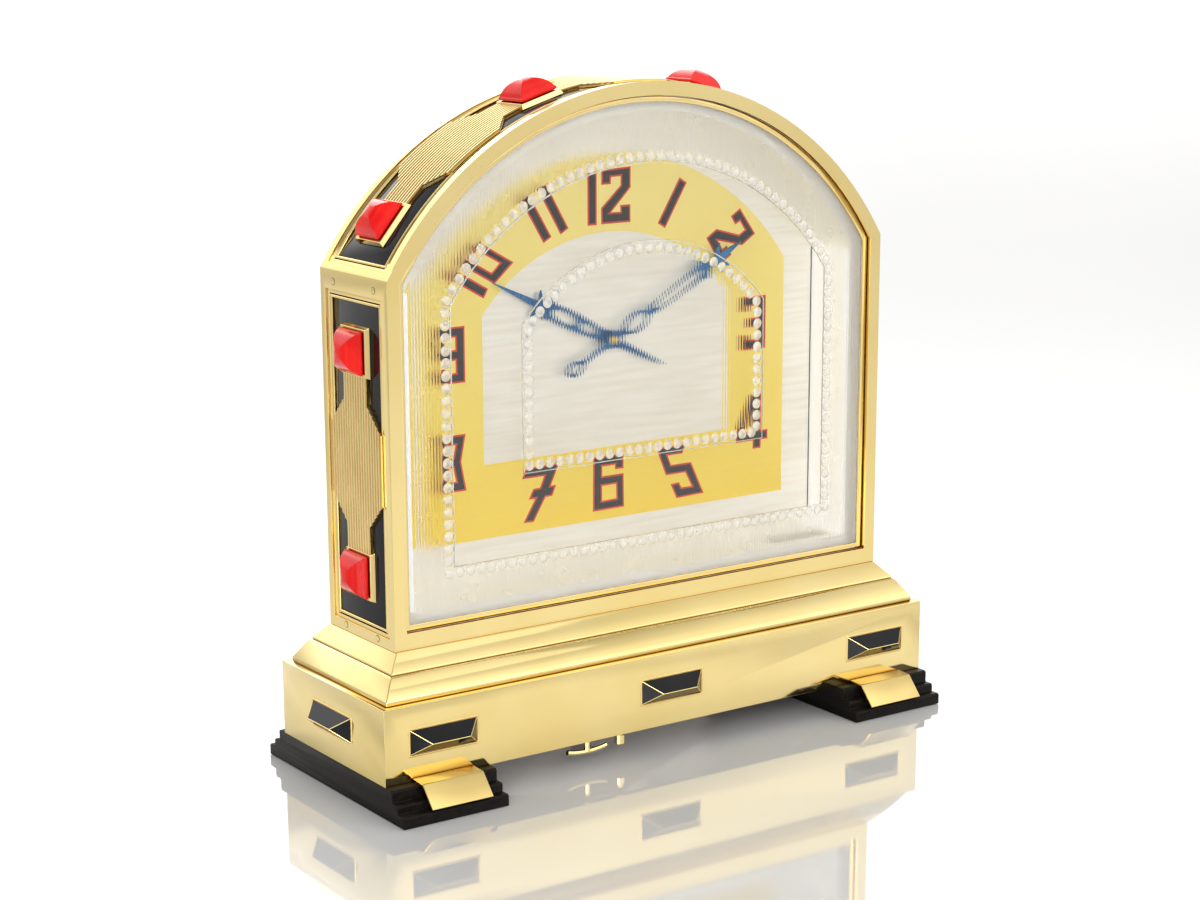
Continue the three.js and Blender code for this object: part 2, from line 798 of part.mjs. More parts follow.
function makeGlass() {
  const at = (outline, y) => outline.map(([x, z]) => [x, y, z]);
  const body = loft([at(cavityOutline(gap), glassBack), at(cavityOutline(gap), glassFront + glassBevelDrop),
    at(cavityOutline(gap + glassBevel), glassFront)]);
  add('front_glass', body, clearGlass);
}

function makeLiner() {
  const body = frameOf(cavityOutline(gap), cavityOutline(gap + linerWall), glassBack, dialFront);
  add('light_liner', cut(body, lightSlot(caseBottom, cavityBottom + linerWall + overrun)), whitePaint);
}

function makeDial() {
  const hole = prismY(holeDisc(pipeRadius + running, 12, 0, handHeight),
    dialFront - overrun, dialBack + overrun);
  add('dial_plate', cut(plate(cavityOutline(gap), dialFront, dialBack), hole), silvered);
  const outer = tombstone(ringOuterHalf, caseBottom + ringRise, ringOuterRadius);
  const inner = tombstone(ringInnerHalf, caseBottom + ringInnerRise, ringInnerRadius);
  add('chapter_ring', frameOf(outer, inner, dialFront - ringThickness, dialFront), yellowEnamel);
}

// Rear door with its knuckles, hinge rod and knob
function lathe(points, sides = 16) {
  return new THREE.LatheGeometry(points.map(([r, y]) => new THREE.Vector2(r, y)), sides);
}

function makeRearDoor() {
  const reach = doorRadius + doorLip;
  const leafStart = hingeX + gap;
  let body = plate(cavityOutline(gap + slip), doorFront, doorBack);
  for (const z of Object.values(hingeHeights)) {
    body = join(body, knuckle(z, leafStart, leafStart + reach, doorBack));
  }
  const knobHole = prismY(holeDisc(doorKnobStem + slip, 12, doorKnobX, handHeight),
    doorFront - overrun, doorBack + overrun);
  add('rear_door', cut(body, knuckleBore(), knobHole), gilt);
}

// One long rod joins both hinges, with a head at each end
function makeHingeRod() {
  const beyond = knuckleLength * 1.5 + gap + slip;
  const [low, high] = [hingeHeights.lower - beyond, hingeHeights.upper + beyond];
  const cross = (radius, z0, z1) => prismZ(disc(radius, 12, hingeX, hingeY), z0, z1);
  add('hinge_rod', join(cross(doorPinRadius, low - pinHead, high + pinHead),
    cross(doorRadius, low - pinHead, low), cross(doorRadius, high, high + pinHead)), gilt);
}

function makeDoorKnob() {
  const flange = doorFront - slip;
  const top = doorBack + doorKnobLength;
  const [stem, head, reach] = [doorKnobStem, doorKnobRadius, doorKnobLength];
  const geometry = lathe([[0, flange - pinHead], [stem * 1.6, flange - pinHead], [stem * 1.6, flange],
    [stem, flange], [stem, doorBack + slip], [head * 0.8, doorBack + slip],
    [head * 0.55, doorBack + reach * 0.35],
    [head, doorBack + reach * 0.7], [head * 0.8, top - slip], [0, top]]);
  geometry.translate(doorKnobX, 0, handHeight);
  add('door_knob', solid(geometry), gilt);
}

// Places of the arbors, seen from above
function polar([x, y], distance, degrees) {
  return [x + distance * Math.cos(radians(degrees)), y + distance * Math.sin(radians(degrees))];
}

function meshDistance(teethA, teethB, module) {
  return ((teethA + teethB) * module) / 2;
}

// The point that lies at two given distances from two others, on the left of the line between them
function betweenTwo([ax, ay], reachA, [bx, by], reachB) {
  const apart = Math.hypot(bx - ax, by - ay);
  const along = (reachA ** 2 - reachB ** 2 + apart ** 2) / (2 * apart);
  const aside = Math.sqrt(reachA ** 2 - along ** 2);
  const [ux, uy] = [(bx - ax) / apart, (by - ay) / apart];
  return [ax + along * ux - aside * uy, ay + along * uy + aside * ux];
}

const shaftAt = [0, shaftBack];
const barrelAt = polar(shaftAt, meshDistance(greatTeeth, shaftPinionTeeth, greatModule), barrelAngle);
const thirdAt = polar(shaftAt, meshDistance(centreTeeth, thirdPinionTeeth, centreModule), thirdAngle);
const keyAt = [keyX, keyY];
const windingAt = betweenTwo(keyAt, meshDistance(keyPinionTeeth, windingTeeth, windingModule),
  barrelAt, meshDistance(windingTeeth, ratchetTeeth, windingModule));
const balanceAt = [platformX, platformY];

// Gears
const addendum = 0.75;            // of the module
const dedendum = 1.05;
const tipShare = 0.1;             // of the pitch, each side of a tooth's middle
const rootShare = 0.27;

const toothCorners = [[-rootShare, -dedendum], [-tipShare, addendum], [tipShare, addendum],
  [rootShare, -dedendum]];

function gearPoints(teeth, module, turn, [u, v] = [0, 0]) {
  const pitch = (2 * Math.PI) / teeth;
  const radius = (teeth * module) / 2;
  const points = [];
  for (let k = 0; k < teeth; k += 1) {
    for (const [share, rise] of toothCorners) {
      const angle = turn + (k + share) * pitch;
      const reach = radius + rise * module;
      points.push([u + reach * Math.cos(angle), v + reach * Math.sin(angle)]);
    }
  }
  return points;
}

// How a wheel must be turned to mesh with another that is already turned
function meshTurn(teethA, turnA, from, to, teethB) {
  const line = Math.atan2(to[1] - from[1], to[0] - from[0]);
  const turns = ((line - turnA) * teethA) / (2 * Math.PI);
  const share = turns - Math.floor(turns);
  return line + Math.PI + ((share - 0.5) * 2 * Math.PI) / teethB;
}

function gearZ(teeth, module, turn, at, z0, z1) {
  return prismZ(polygon(gearPoints(teeth, module, turn, at)), z0, z1);
}

function gearY(teeth, module, turn, at, y0, y1) {
  return prismY(polygon(gearPoints(teeth, module, turn, at)), y0, y1);
}

function rod([x, y], radius, z0, z1, sides = 10) {
  return prismZ(disc(radius, sides, x, y), z0, z1);
}

// An upright arbor with a thinner pivot at each end, between the movement's plates
function platedArbor(at, radius, pivot) {
  const endPlay = gap;
  return join(rod(at, radius, lowerPlateTop + endPlay, upperPlateBottom - endPlay),
    rod(at, pivot, lowerPlateBottom + endPlay, upperPlateTop - endPlay, 8));
}

// The lower plate stands on four legs and carries four pillars
function movementPlate(z0) {
  const half = movementWidth / 2;
  const plateBox = box(-half, half, movementFront, movementBack, z0, z0 + plateThickness);
  const ear = box(keyX - earHalf, keyX + earHalf, keyY - earFront, movementFront + plateThickness,
    z0, z0 + plateThickness);
  const holes = [[shaftAt, pivotRadius], [barrelAt, arborRadius], [thirdAt, pivotRadius],
    [windingAt, pivotRadius], [keyAt, pivotRadius], [balanceAt, pivotRadius]];
  const tools = holes.map(([at, radius]) =>
    prismZ(holeDisc(radius + running, 8, ...at), z0 - overrun, z0 + plateThickness + overrun));
  return cut(join(plateBox, ear), ...tools);
}

function pillarPlaces() {
  const x = movementWidth / 2 - pillarInset;
  return [[-x, movementFront + pillarInset], [x, movementFront + pillarInset],
    [-x, movementBack - pillarInset], [x, movementBack - pillarInset]];
}

function makeMovementPlates() {
  const posts = pillarPlaces().flatMap((at) => [rod(at, pillarRadius, basePlateTop, lowerPlateBottom + gap),
    rod(at, pillarRadius, lowerPlateTop - gap, upperPlateBottom)]);
  add('movement_plate_lower', join(movementPlate(lowerPlateBottom), ...posts), brass);
  const shaftClearance = rod(shaftAt, arborRadius + running * 1.2,
    upperPlateBottom - overrun, upperPlateTop + overrun);
  add('movement_plate_upper', cut(movementPlate(upperPlateBottom), shaftClearance), brass);
}

// Barrel with its toothed rim, and the ratchet wheel on the barrel's arbor
const shaftPinionTurn = 0;
const greatTurn = meshTurn(shaftPinionTeeth, shaftPinionTurn, shaftAt, barrelAt, greatTeeth);
const thirdPinionTurn = meshTurn(centreTeeth, 0, shaftAt, thirdAt, thirdPinionTeeth);
const windingTurn = meshTurn(keyPinionTeeth, 0, keyAt, windingAt, windingTeeth);
const ratchetTurn = meshTurn(windingTeeth, windingTurn, windingAt, barrelAt, ratchetTeeth);

function makeBarrel() {
  const rim = lowerPlateTop + greatLift;
  const rimTop = rim + gearThickness * 1.5;
  const body = join(gearZ(greatTeeth, greatModule, greatTurn, barrelAt, rim, rimTop),
    rod(barrelAt, barrelDrumRadius, rimTop - gap, rimTop + barrelDrumHeight, 32));
  const bore = prismZ(holeDisc(barrelArborRadius + running, 10, ...barrelAt),
    rim - overrun, upperPlateBottom);
  add('mainspring_barrel', cut(body, bore), brass);
}

function makeWindingTrain() {
  const layer = lowerPlateTop + windingLift;
  const ratchet = gearZ(ratchetTeeth, windingModule, ratchetTurn, barrelAt, layer, layer + gearThickness);
  add('ratchet_wheel', join(ratchet, platedArbor(barrelAt, barrelArborRadius, arborRadius)), steel);
  const idler = gearZ(windingTeeth, windingModule, windingTurn, windingAt, layer, layer + gearThickness);
  add('winding_wheel', join(idler, platedArbor(windingAt, arborRadius, pivotRadius)), steel);
}

// The T-shaped key hangs below the base; its bowed bar is fixed on the stem of the winding pinion
function makeWindingKey() {
  const half = keyBarLength / 2;
  const bow = new THREE.QuadraticBezierCurve3(new THREE.Vector3(-half, 0, keyBarRadius),
    new THREE.Vector3(0, 0, -keyBarRadius), new THREE.Vector3(half, 0, keyBarRadius));
  const bar = new THREE.ExtrudeGeometry(disc(keyBarRadius, 8), { steps: 8, extrudePath: bow });
  bar.translate(keyX, keyY, keyBarLift);
  const collarTop = lowerPlateBottom - gap;
  const layer = lowerPlateTop + windingLift;
  add('winding_key', join(solid(bar), rod(keyAt, keyStemRadius, keyBarLift, collarTop),
    rod(keyAt, keyCollarRadius, basePlateTop + gap, collarTop),
    platedArbor(keyAt, keyStemRadius, pivotRadius),
    rod(keyAt, pivotRadius, keyBarLift, upperPlateBottom, 8),
    gearZ(keyPinionTeeth, windingModule, 0, keyAt, layer - gap, layer + gearThickness + gap)), gilt);
}

// Drive shaft: from the movement up to the hands, with its pinion, wheel and bevel
function bevelBody(turn) {
  const module = (2 * bevelRadius) / bevelTeeth;
  const pitch = (2 * Math.PI) / bevelTeeth;
  const ring = (scale) => {
    const points = [];
    for (let k = 0; k < bevelTeeth; k += 1) {
      for (const [share, rise] of toothCorners) {
        const angle = turn + (k + share) * pitch;
        const lift = (rise * module) / Math.SQRT2;
        const reach = (bevelRadius + lift) * scale;
        points.push([reach * Math.cos(angle), reach * Math.sin(angle), (lift - bevelRadius) * scale]);
      }
    }
    return points;
  };
  const small = (bevelRadius - bevelFace) / bevelRadius;
  const rootZ = -bevelRadius - (dedendum * module) / Math.SQRT2;
  const centre = (scale) => ring(1).map(() => [0, 0, rootZ * scale]);
  return loftGeometry([centre(1), ring(1), ring(small), centre(small)]);
}

function makeDriveShaft() {
  const pinionBase = lowerPlateTop + greatLift;
  const wheelBase = lowerPlateTop + centreLift;
  const bevel = bevelBody(-Math.PI / 2);
  bevel.translate(0, shaftBack, handHeight);
  const body = join(
    rod(shaftAt, arborRadius, lowerPlateTop + gap, handHeight - bevelRadius),
    rod(shaftAt, pivotRadius, lowerPlateBottom + gap, lowerPlateTop + plateThickness, 8),
    gearZ(shaftPinionTeeth, greatModule, shaftPinionTurn, shaftAt,
      pinionBase - gap, pinionBase + gearThickness * 2),
    gearZ(centreTeeth, centreModule, 0, shaftAt, wheelBase, wheelBase + gearThickness),
    solid(bevel));
  add('drive_shaft', body, steel);
}

function makeThirdWheel() {
  const pinionBase = lowerPlateTop + centreLift;
  const wheelBase = lowerPlateTop + thirdLift;
  add('third_wheel', join(platedArbor(thirdAt, pivotRadius * 1.5, pivotRadius),
    gearZ(thirdPinionTeeth, centreModule, thirdPinionTurn, thirdAt,
      pinionBase - gap, pinionBase + gearThickness + gap),
    gearZ(thirdTeeth, thirdModule, 0, thirdAt, wheelBase, wheelBase + gearThickness)), brass);
}

// Escapement platform and balance wheel
function makeEscapement() {
  const top = lowerPlateTop + platformHeight;
  const block = box(platformX - platformWidth / 2, platformX + platformWidth / 2,
    platformY - platformDepth / 2, platformY + platformDepth / 2, lowerPlateTop, top);
  const hole = prismZ(holeDisc(pivotRadius + running, 8, ...balanceAt), top - overrun, top + overrun);
  add('escapement_platform', cut(block, hole), steel);
  const rimBase = lowerPlateTop + centreLift;
  const rimTop = rimBase + gearThickness;
  const inner = balanceRadius - balanceRim;
  const rim = cut(rod(balanceAt, balanceRadius, rimBase, rimTop, 24),
    rod(balanceAt, inner, 0, plinthTop, 24));
  const spoke = box(platformX - inner - gap, platformX + inner + gap,
    platformY - gap * 2, platformY + gap * 2, rimBase, rimTop);
  add('balance_wheel', join(rim, spoke, rod(balanceAt, arborRadius, top + gap, upperPlateBottom - gap),
    rod(balanceAt, pivotRadius, top - overrun + gap, upperPlateTop - gap, 8)), brass);
}

// Motion work: layers from the dial back to the bevels
const handsAt = [0, handHeight];
const wheelDistance = meshDistance(cannonTeeth, minuteWheelTeeth, cannonModule);
const minuteWheelAt = [wheelDistance, handHeight];
const hourModule = (2 * wheelDistance) / (minutePinionTeeth + hourWheelTeeth);
const hourWheelFront = dialBack + gap;
const minuteWheelFront = hourWheelFront + wheelThickness + layerGap;
const bracketFront = minuteWheelFront + wheelThickness + layerGap;
const bracketBack = bracketFront + bracketThickness;
const hourHandBack = dialFront - ringThickness - handGap;
const hourHandFront = hourHandBack - handThickness;
const minuteHandBack = hourHandFront - handGap;
const minuteHandFront = minuteHandBack - handThickness;
const knobBack = doorFront - gap;
const knobFront = knobBack - settingKnobThickness;
const nutBack = minuteHandFront - slip;
const nutFront = nutBack - nutLength;

function makeMinuteArbor() {
  const bevel = bevelBody(Math.PI / 2 + Math.PI / bevelTeeth);
  bevel.rotateX(-Math.PI / 2);
  bevel.translate(0, shaftBack, handHeight);
  const [cannonFront, cannonBack] = [minuteWheelFront - slip, minuteWheelFront + wheelThickness + slip];
  const body = join(prismY(disc(minuteArborRadius, 10, ...handsAt), nutFront + nutLength / 2, knobBack),
    gearY(cannonTeeth, cannonModule, 0, handsAt, cannonFront, cannonBack), solid(bevel),
    prismY(disc(settingKnobRadius, 20, ...handsAt), knobFront, knobBack));
  add('minute_arbor', body, brass);
  const nut = prismY(disc(pipeRadius, 12, ...handsAt), nutFront, nutBack);
  const nutBore = prismY(holeDisc(minuteArborRadius + slip, 10, ...handsAt),
    nutFront + nutLength / 2 - slip, nutBack + overrun);
  add('hand_nut', cut(nut, nutBore), brass);
}

function makeMinuteWheel() {
  const wheelTurn = meshTurn(cannonTeeth, 0, handsAt, minuteWheelAt, minuteWheelTeeth);
  const wheel = gearY(minuteWheelTeeth, cannonModule, wheelTurn, minuteWheelAt,
    minuteWheelFront, minuteWheelFront + wheelThickness);
  const pinion = gearY(minutePinionTeeth, hourModule, 0, minuteWheelAt,
    hourWheelFront - slip, minuteWheelFront + slip);
  const bore = prismY(holeDisc(minuteStudRadius + minuteStudPlay, 8, ...minuteWheelAt),
    dialBack, bracketFront);
  add('minute_wheel', cut(join(wheel, pinion), bore), brass);
}

function makeHourWheel() {
  const turn = meshTurn(minutePinionTeeth, 0, minuteWheelAt, handsAt, hourWheelTeeth);
  const back = hourWheelFront + wheelThickness;
  const body = join(gearY(hourWheelTeeth, hourModule, turn, handsAt, hourWheelFront, back),
    prismY(disc(pipeRadius, 12, ...handsAt), hourHandFront, back));
  const bore = prismY(holeDisc(minuteArborRadius + running, 10, ...handsAt),
    hourHandFront - overrun, back + overrun);
  add('hour_wheel', cut(body, bore), brass);
}

// The bracket stands on posts behind the dial; its shelf steadies the drive shaft
function makeMotionBracket() {
  const [x0, z0] = [wheelDistance / 2 - bracketWidth / 2, handHeight - bracketHeight / 2];
  const [x1, z1] = [x0 + bracketWidth, z0 + bracketHeight];
  const parts = [box(x0, x1, bracketFront, bracketBack, z0, z1)];
  for (const x of [x0 + pillarRadius, x1 - pillarRadius]) {
    for (const z of [z0 + pillarRadius, z1 - pillarRadius]) {
      parts.push(prismY(disc(arborRadius, 10, x, z), dialBack, bracketFront + slip));
    }
  }
  parts.push(prismY(disc(minuteStudRadius, 8, ...minuteWheelAt), dialBack + slip, bracketFront + slip));
  parts.push(box(-shelfHalf, shelfHalf, bracketBack - slip, shaftBack + shelfHalf,
    z0, z0 + shelfThickness));
  const arborHole = prismY(holeDisc(minuteArborRadius + running, 10, ...handsAt),
    bracketFront - overrun, bracketBack + overrun);
  const shelfHole = prismZ(holeDisc(arborRadius + running, 10, ...shaftAt),
    z0 - overrun, z0 + shelfThickness + overrun);
  add('motion_bracket', cut(join(...parts), arborHole, shelfHole), brass);
}

// Hands: each is a half outline along the hand, mirrored, with pierced openings
function handShape(profile, openings, degrees) {
  const place = (u, v) => {
    const turn = radians(degrees);
    return new THREE.Vector2(u * Math.cos(turn) + v * Math.sin(turn),
      handHeight - u * Math.sin(turn) + v * Math.cos(turn));
  };
  const outline = (half) => [...half.map(([v, u]) => place(u, v)),
    ...half.map(([v, u]) => place(-u, v)).reverse()];
  const shape = new THREE.Shape(outline(profile));
  for (const opening of openings) shape.holes.push(new THREE.Path(outline(opening)));
  return shape;
}

// An oval or tapered opening between two places along the hand
function opening(from, to, half) {
  const length = to - from;
  return [[from, half * openingEnd], [from + length * 0.2, half * 0.75], [from + length / 2, half],
    [to - length * 0.2, half * 0.75], [to, half * openingEnd]];
}

// Stations given as shares of the hand's length and of its width
function stations(shares, length, width) {
  return shares.map(([along, half]) => [along * length, half * width]);
}

// The minute hand: pear-shaped tail, hub, oval loop, two rails, leaves and point
function minuteOutline() {
  const tail = minuteTail / minuteLength;
  const shares = [[-tail, 0.09], [-tail + 0.014, 0.45], [-tail + 0.054, 0.67], [-tail + 0.098, 0.45],
    [-tail + 0.12, 0.21], [-0.073, 0.24], [-0.054, 0.42], [-0.027, 0.65], [0, 0.76], [0.027, 0.65],
    [0.054, 0.39], [0.081, 0.33], [0.127, 0.73], [0.176, 0.91], [0.228, 0.73], [0.272, 0.27], [0.308, 0.35],
    [0.692, 0.45], [0.754, 0.27], [0.783, 0.36], [0.808, 0.88], [0.844, 1], [0.866, 0.52], [0.891, 0.58],
    [0.928, 0.33], [1, 0.04]];
  return stations(shares, minuteLength, handWidth);
}

// The hour hand: thin tail, hub, two leaf-shaped openings, leaves and a long point
function hourOutline() {
  const tail = hourTail / hourLength;
  const shares = [[-tail, 0.03], [-tail * 0.6, 0.21], [-0.106, 0.3], [-0.064, 0.48], [-0.032, 0.71],
    [0, 0.85], [0.032, 0.76], [0.085, 0.61], [0.17, 0.97], [0.277, 1.06], [0.383, 0.94], [0.489, 0.48],
    [0.521, 0.33], [0.545, 0.82], [0.579, 1], [0.609, 0.48], [0.643, 0.42], [0.702, 0.61], [1, 0.04]];
  return stations(shares, hourLength, handWidth);
}

function makeHand(name, outline, openings, degrees, bore, front, back) {
  const shape = handShape(outline, openings, degrees);
  const hole = prismY(holeDisc(bore, 12, ...handsAt), front - overrun, back + overrun);
  add(name, cut(prismY(shape, front, back), hole), blueSteel);
}

function makeHands() {
  const minuteOpenings = [opening(minuteLength * 0.109, minuteLength * 0.246, handWidth * 0.58),
    opening(minuteLength * 0.326, minuteLength * 0.728, handWidth * 0.23),
    opening(-minuteTail * 0.926, -minuteTail * 0.737, handWidth * 0.36)];
  makeHand('minute_hand', minuteOutline(), minuteOpenings, minuteAngle, minuteArborRadius + slip,
    minuteHandFront, minuteHandBack);
  const hourOpenings = [opening(hourLength * 0.119, hourLength * 0.26, handWidth * 0.52),
    opening(hourLength * 0.281, hourLength * 0.447, handWidth * 0.48)];
  makeHand('hour_hand', hourOutline(), hourOpenings, hourAngle, pipeRadius + slip,
    hourHandFront, hourHandBack);
}

// Lamp: a tube held between two posts under the light slot
function makeLamp() {
  const axisZ = basePlateTop + lampHeight;
  const half = lampLength / 2;
  const outer = half + gap + lampPostWidth;
  const depth = lampRadius;
  const post = (side) => {
    const ends = [side * (half + gap), side * outer].sort((a, b) => a - b);
    return box(lampX + ends[0], lampX + ends[1], lightSlotY - depth, lightSlotY + depth,
      basePlateTop, axisZ + lampRadius / 2);
  };
  const block = box(lampX - outer, lampX + outer, lightSlotY - depth, lightSlotY + depth,
    basePlateTop, basePlateTop + lampBlockHeight);
  add('lamp_holder', join(block, post(-1), post(1)), darkPlastic);
  const bulb = prismX(disc(lampRadius, 14, lightSlotY, axisZ), lampX - half, lampX + half);
  add('lamp_bulb', bulb, clearGlass);
}

// Push button of the lamp, under the base beside the key, and its switch
function makeLampButton() {
  const at = [buttonX, keyY];
  add('lamp_button', join(rod(at, buttonRadius, buttonLift, buttonLift + buttonHead, 12),
    rod(at, buttonStemRadius, buttonLift + buttonHead - gap, buttonStemTop)), gilt);
  const half = switchSize / 2;
  const block = box(buttonX - half, buttonX + half, keyY - half, keyY + half,
    basePlateTop, basePlateTop + switchHeight);
  const bore = prismZ(holeDisc(buttonStemRadius + running, 8, ...at), basePlateTop - overrun,
    buttonStemTop + buttonTravel + gap);
  add('lamp_switch', cut(block, bore), darkPlastic);
}

function makeCableBush() {
  const wallBack = plinthDepth / 2;
  const body = join(
    prismY(disc(bushRadius - slip, 12, bushX, inlayZ), wallBack - plinthWall - gap, wallBack + gap),
    prismY(disc(bushFlange, 16, bushX, inlayZ), wallBack + slip, wallBack + bushRadius / 2));
  const bore = prismY(holeDisc(bushBore, 12, bushX, inlayZ),
    wallBack - plinthWall - overrun, wallBack + bushRadius);
  add('cable_bush', cut(body, bore), darkPlastic);
}

makeFeet();
makeFootStraps();
makePlinth();
makeInlays();
makeBasePlate();
makeMouldings();
makeCaseBody();
makePanels();
makeSideOrnament('ornament_left', -1);
makeSideOrnament('ornament_right', 1);
makeArchOrnament();
makeStones();
makeBezel();
makeGlass();
makeLiner();
makeDial();
makeRearDoor();
makeHingeRod();
makeDoorKnob();
makeMovementPlates();
makeBarrel();
makeWindingTrain();
makeWindingKey();
makeDriveShaft();
makeThirdWheel();
makeEscapement();
makeMinuteArbor();
makeMinuteWheel();
makeHourWheel();
makeMotionBracket();
makeHands();
makeLamp();
makeLampButton();
makeCableBush();

export default clock;
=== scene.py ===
from functools import partial
import json
import math

import bmesh
import bpy
from mathutils import Matrix, Vector, geometry


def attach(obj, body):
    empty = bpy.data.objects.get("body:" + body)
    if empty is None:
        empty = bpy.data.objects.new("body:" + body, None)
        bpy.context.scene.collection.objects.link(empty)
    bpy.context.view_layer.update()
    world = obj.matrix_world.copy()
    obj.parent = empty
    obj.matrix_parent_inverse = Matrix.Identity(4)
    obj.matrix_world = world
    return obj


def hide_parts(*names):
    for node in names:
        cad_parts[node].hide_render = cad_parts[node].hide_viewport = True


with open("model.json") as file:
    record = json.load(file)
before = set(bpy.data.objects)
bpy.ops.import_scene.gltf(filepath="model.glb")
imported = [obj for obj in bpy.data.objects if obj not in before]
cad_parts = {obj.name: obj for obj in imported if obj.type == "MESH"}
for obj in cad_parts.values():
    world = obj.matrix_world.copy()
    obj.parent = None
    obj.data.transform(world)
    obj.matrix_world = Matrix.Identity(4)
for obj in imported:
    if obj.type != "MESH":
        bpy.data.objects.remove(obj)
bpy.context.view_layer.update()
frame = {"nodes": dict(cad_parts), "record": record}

# Lengths are millimetres here and metres in Blender, and angles are degrees
MM = 0.001

# The case, its cavity and the dial, as the solids have them
CASE_HALF = 89.37
CASE_FRONT = -18.94
ARCH_CENTRE = 97.6
ARCH_RADIUS = 104.0
CAVITY_HALF = 85.27
CAVITY_BOTTOM = 49.53
CAVITY_RADIUS = 99.9
DIAL_FRONT = 4.56
RING_FRONT = 4.26
HAND_HEIGHT = 123.33

# Eased edges: the outline of the case's front has the full ease, other edges a share of it
CASE_EASE = 0.25
NARROW_EASE = 0.28
EASE_ANGLE = 28
OUTLINE_REACH = 0.3
RIDGE_EASE = 0.12

# Angles over which an edge stays crisp, and the one up to which faces count as flat
CRISP_ANGLE = 26
RECIPE_ANGLE = 35
SMOOTH_ANGLE = 40
KNOB_ANGLE = 50
FLAT_ANGLE = 0.5

# The front glass
GLASS_FRONT = -17.2
GLASS_BACK = -12.2
GLASS_GAP = 0.3
GLASS_HALF = CAVITY_HALF - GLASS_GAP
GLASS_BOTTOM = CAVITY_BOTTOM + GLASS_GAP
GLASS_BEVEL = 4.2
GLASS_SLANT = 0.9
BEVEL_DROP = 1.0
BEVEL_CREASE = 0.3
CREASE_SHARE = 0.4
LEVEL_GAP = 0.001

# Its flutes, which change over to the clear band within RIB_EASE of its border and settle by RIB_REACH
RIB_PITCH = 1.0
RIB_DEPTH = 0.085
RIB_STEPS = 8
COLUMN_GAP = 0.04
RIB_EASE = 0.3
RIB_REACH = RIB_EASE + 0.35
# The depth of the flutes inside the band, as a share, and a share that only dulls the plain bevel
INNER_SHARE = 0.42
BEVEL_SHARE = 0.4

# Its raised lines and its pearls
PATTERN_FRONT = GLASS_FRONT - 0.01
GLASS_LINE = 0.32
OUTER_LINE = dict(half=68.0, bottom=66.4, centre=96.3, radius=81.8)
INNER_LINE = dict(half=44.0, bottom=90.7, centre=98.8, radius=56.4)
OUTER_PEARLS = dict(half=69.8, bottom=64.5, centre=96.3, radius=83.7)
INNER_PEARLS = dict(half=41.9, bottom=92.8, centre=98.8, radius=54.1)
PEARL_PITCH = 3.6
PEARL_RADIUS = 1.6
PEARL_RISE = 0.75
ARC_STEP = 1.5

# The light well beside the dial
STRIP_FACE = 79.4
STRIP_BACK = 80.7
STRIP_LOW = 54.2
STRIP_HIGH = 146.0
STRIP_GAP = 0.1
# The painted shadow line where each strip meets the dial: its width, how far it sinks and its thickness
DIAL_SHADOW_LINE = 0.4
SHADOW_LINE_SINK = 0.02
SHADOW_LINE_THICKNESS = 0.04

# Black panels and the fillets round them
PANEL_RECESS = 0.92
PANEL_HALF = 14.35
SIDE_LOW = 49.23
SIDE_HIGH = 143.63
SIDE_CENTRE = (SIDE_LOW + SIDE_HIGH) / 2
ARCH_PANEL_ANGLE = 57.2
FILLET = 0.5
FILLET_IN = 0.5
FILLET_SEAT = 0.1

# Reeded ornaments
ORNAMENT_RISE = 0.8
SIDE_STRAP = CASE_HALF - PANEL_RECESS + ORNAMENT_RISE
ARCH_STRAP = ARCH_RADIUS - PANEL_RECESS + ORNAMENT_RISE
ARCH_SHARE = 0.919
NECK_HALF = 6.5
WAIST_HALF = 14.15
WAIST_LENGTH = 20.6
WAIST_SLOPE = 7.7
REED_PITCH = 1.44
REED_HEIGHT = 0.55
REED_STEPS = 10
REED_SEAT = 0.3
REED_LEVEL = 0.03

# Stones and their settings
SETTING_RISE = 1.5
SETTING_SIZE = 13.5
SETTING_TAPER = 0.62
SETTING_LIP = 0.08
SETTING_SEAT = 0.03
SETTING_SPACING = 65.0
SETTING_ARC = 33.2
ARCH_STONES = 4
STONE_SIZE = 12.6
STONE_HEIGHT = 5.1
STONE_SEAT = 0.1
STONE_BAND = 1.0
STONE_CHAMFER = 0.35
STONE_SHOULDER = STONE_BAND + 0.15
# How far in and how high each level of a stone's band stands
STONE_FOOT = ((0.6, 0.0), (0.2, 0.25), (0.0, 0.7), (0.08, STONE_BAND), (STONE_CHAMFER, STONE_SHOULDER))
STONE_ROUNDNESS = 0.62
STONE_RINGS = 9
STONE_RIDGE = 24

# Plinth, inlays and base
PLINTH_HALF = 100.0
PLINTH_FRONT = -30.28
INLAY_HEIGHT = 21.26
INLAY_SPREAD = 80.6
INLAY_HALF = 11.1
INLAY_RISE = 3.65
INLAY_PROUD = 4.6
INLAY_HIP = 4.8
INLAY_LINE = 0.12
INLAY_LINE_SEAT = 0.05
BASE_BOTTOM = 9.56

# Pins, screws and the knob
SIDE_PINS = ((-11.5, 147.4), (11.5, 147.4), (-9.2, 46.6), (9.2, 46.6))
PIN_RADIUS = 0.9
PIN_JOINT = PIN_RADIUS + 0.14
BASE_SCREW_X = 56.0
BASE_SCREW_Y = 21.0
SCREW_SLOT = 0.22
SCREW_SLOT_HALF = 1.9
SCREW_SLOT_DEPTH = 0.82
SCREW_TURN = 25
SCREW_STEP = 47
KNOB_X = 74
KNOB_HEAD = 3.4
KNURLS = 32
KNURL = 0.2

# Numerals and hands
NUMERAL_EDGE = 0.55
MITRE_LIMIT = 0.3
HAND_WIDTH = 3.3
TIP_HALF = 0.1
OPENING_STEPS = 12
OPENING_TIP = 0.12
OPENING_FULLNESS = 0.7

# The corners of a square, in order round it
SQUARE = ((-1, -1), (1, -1), (1, 1), (-1, 1))
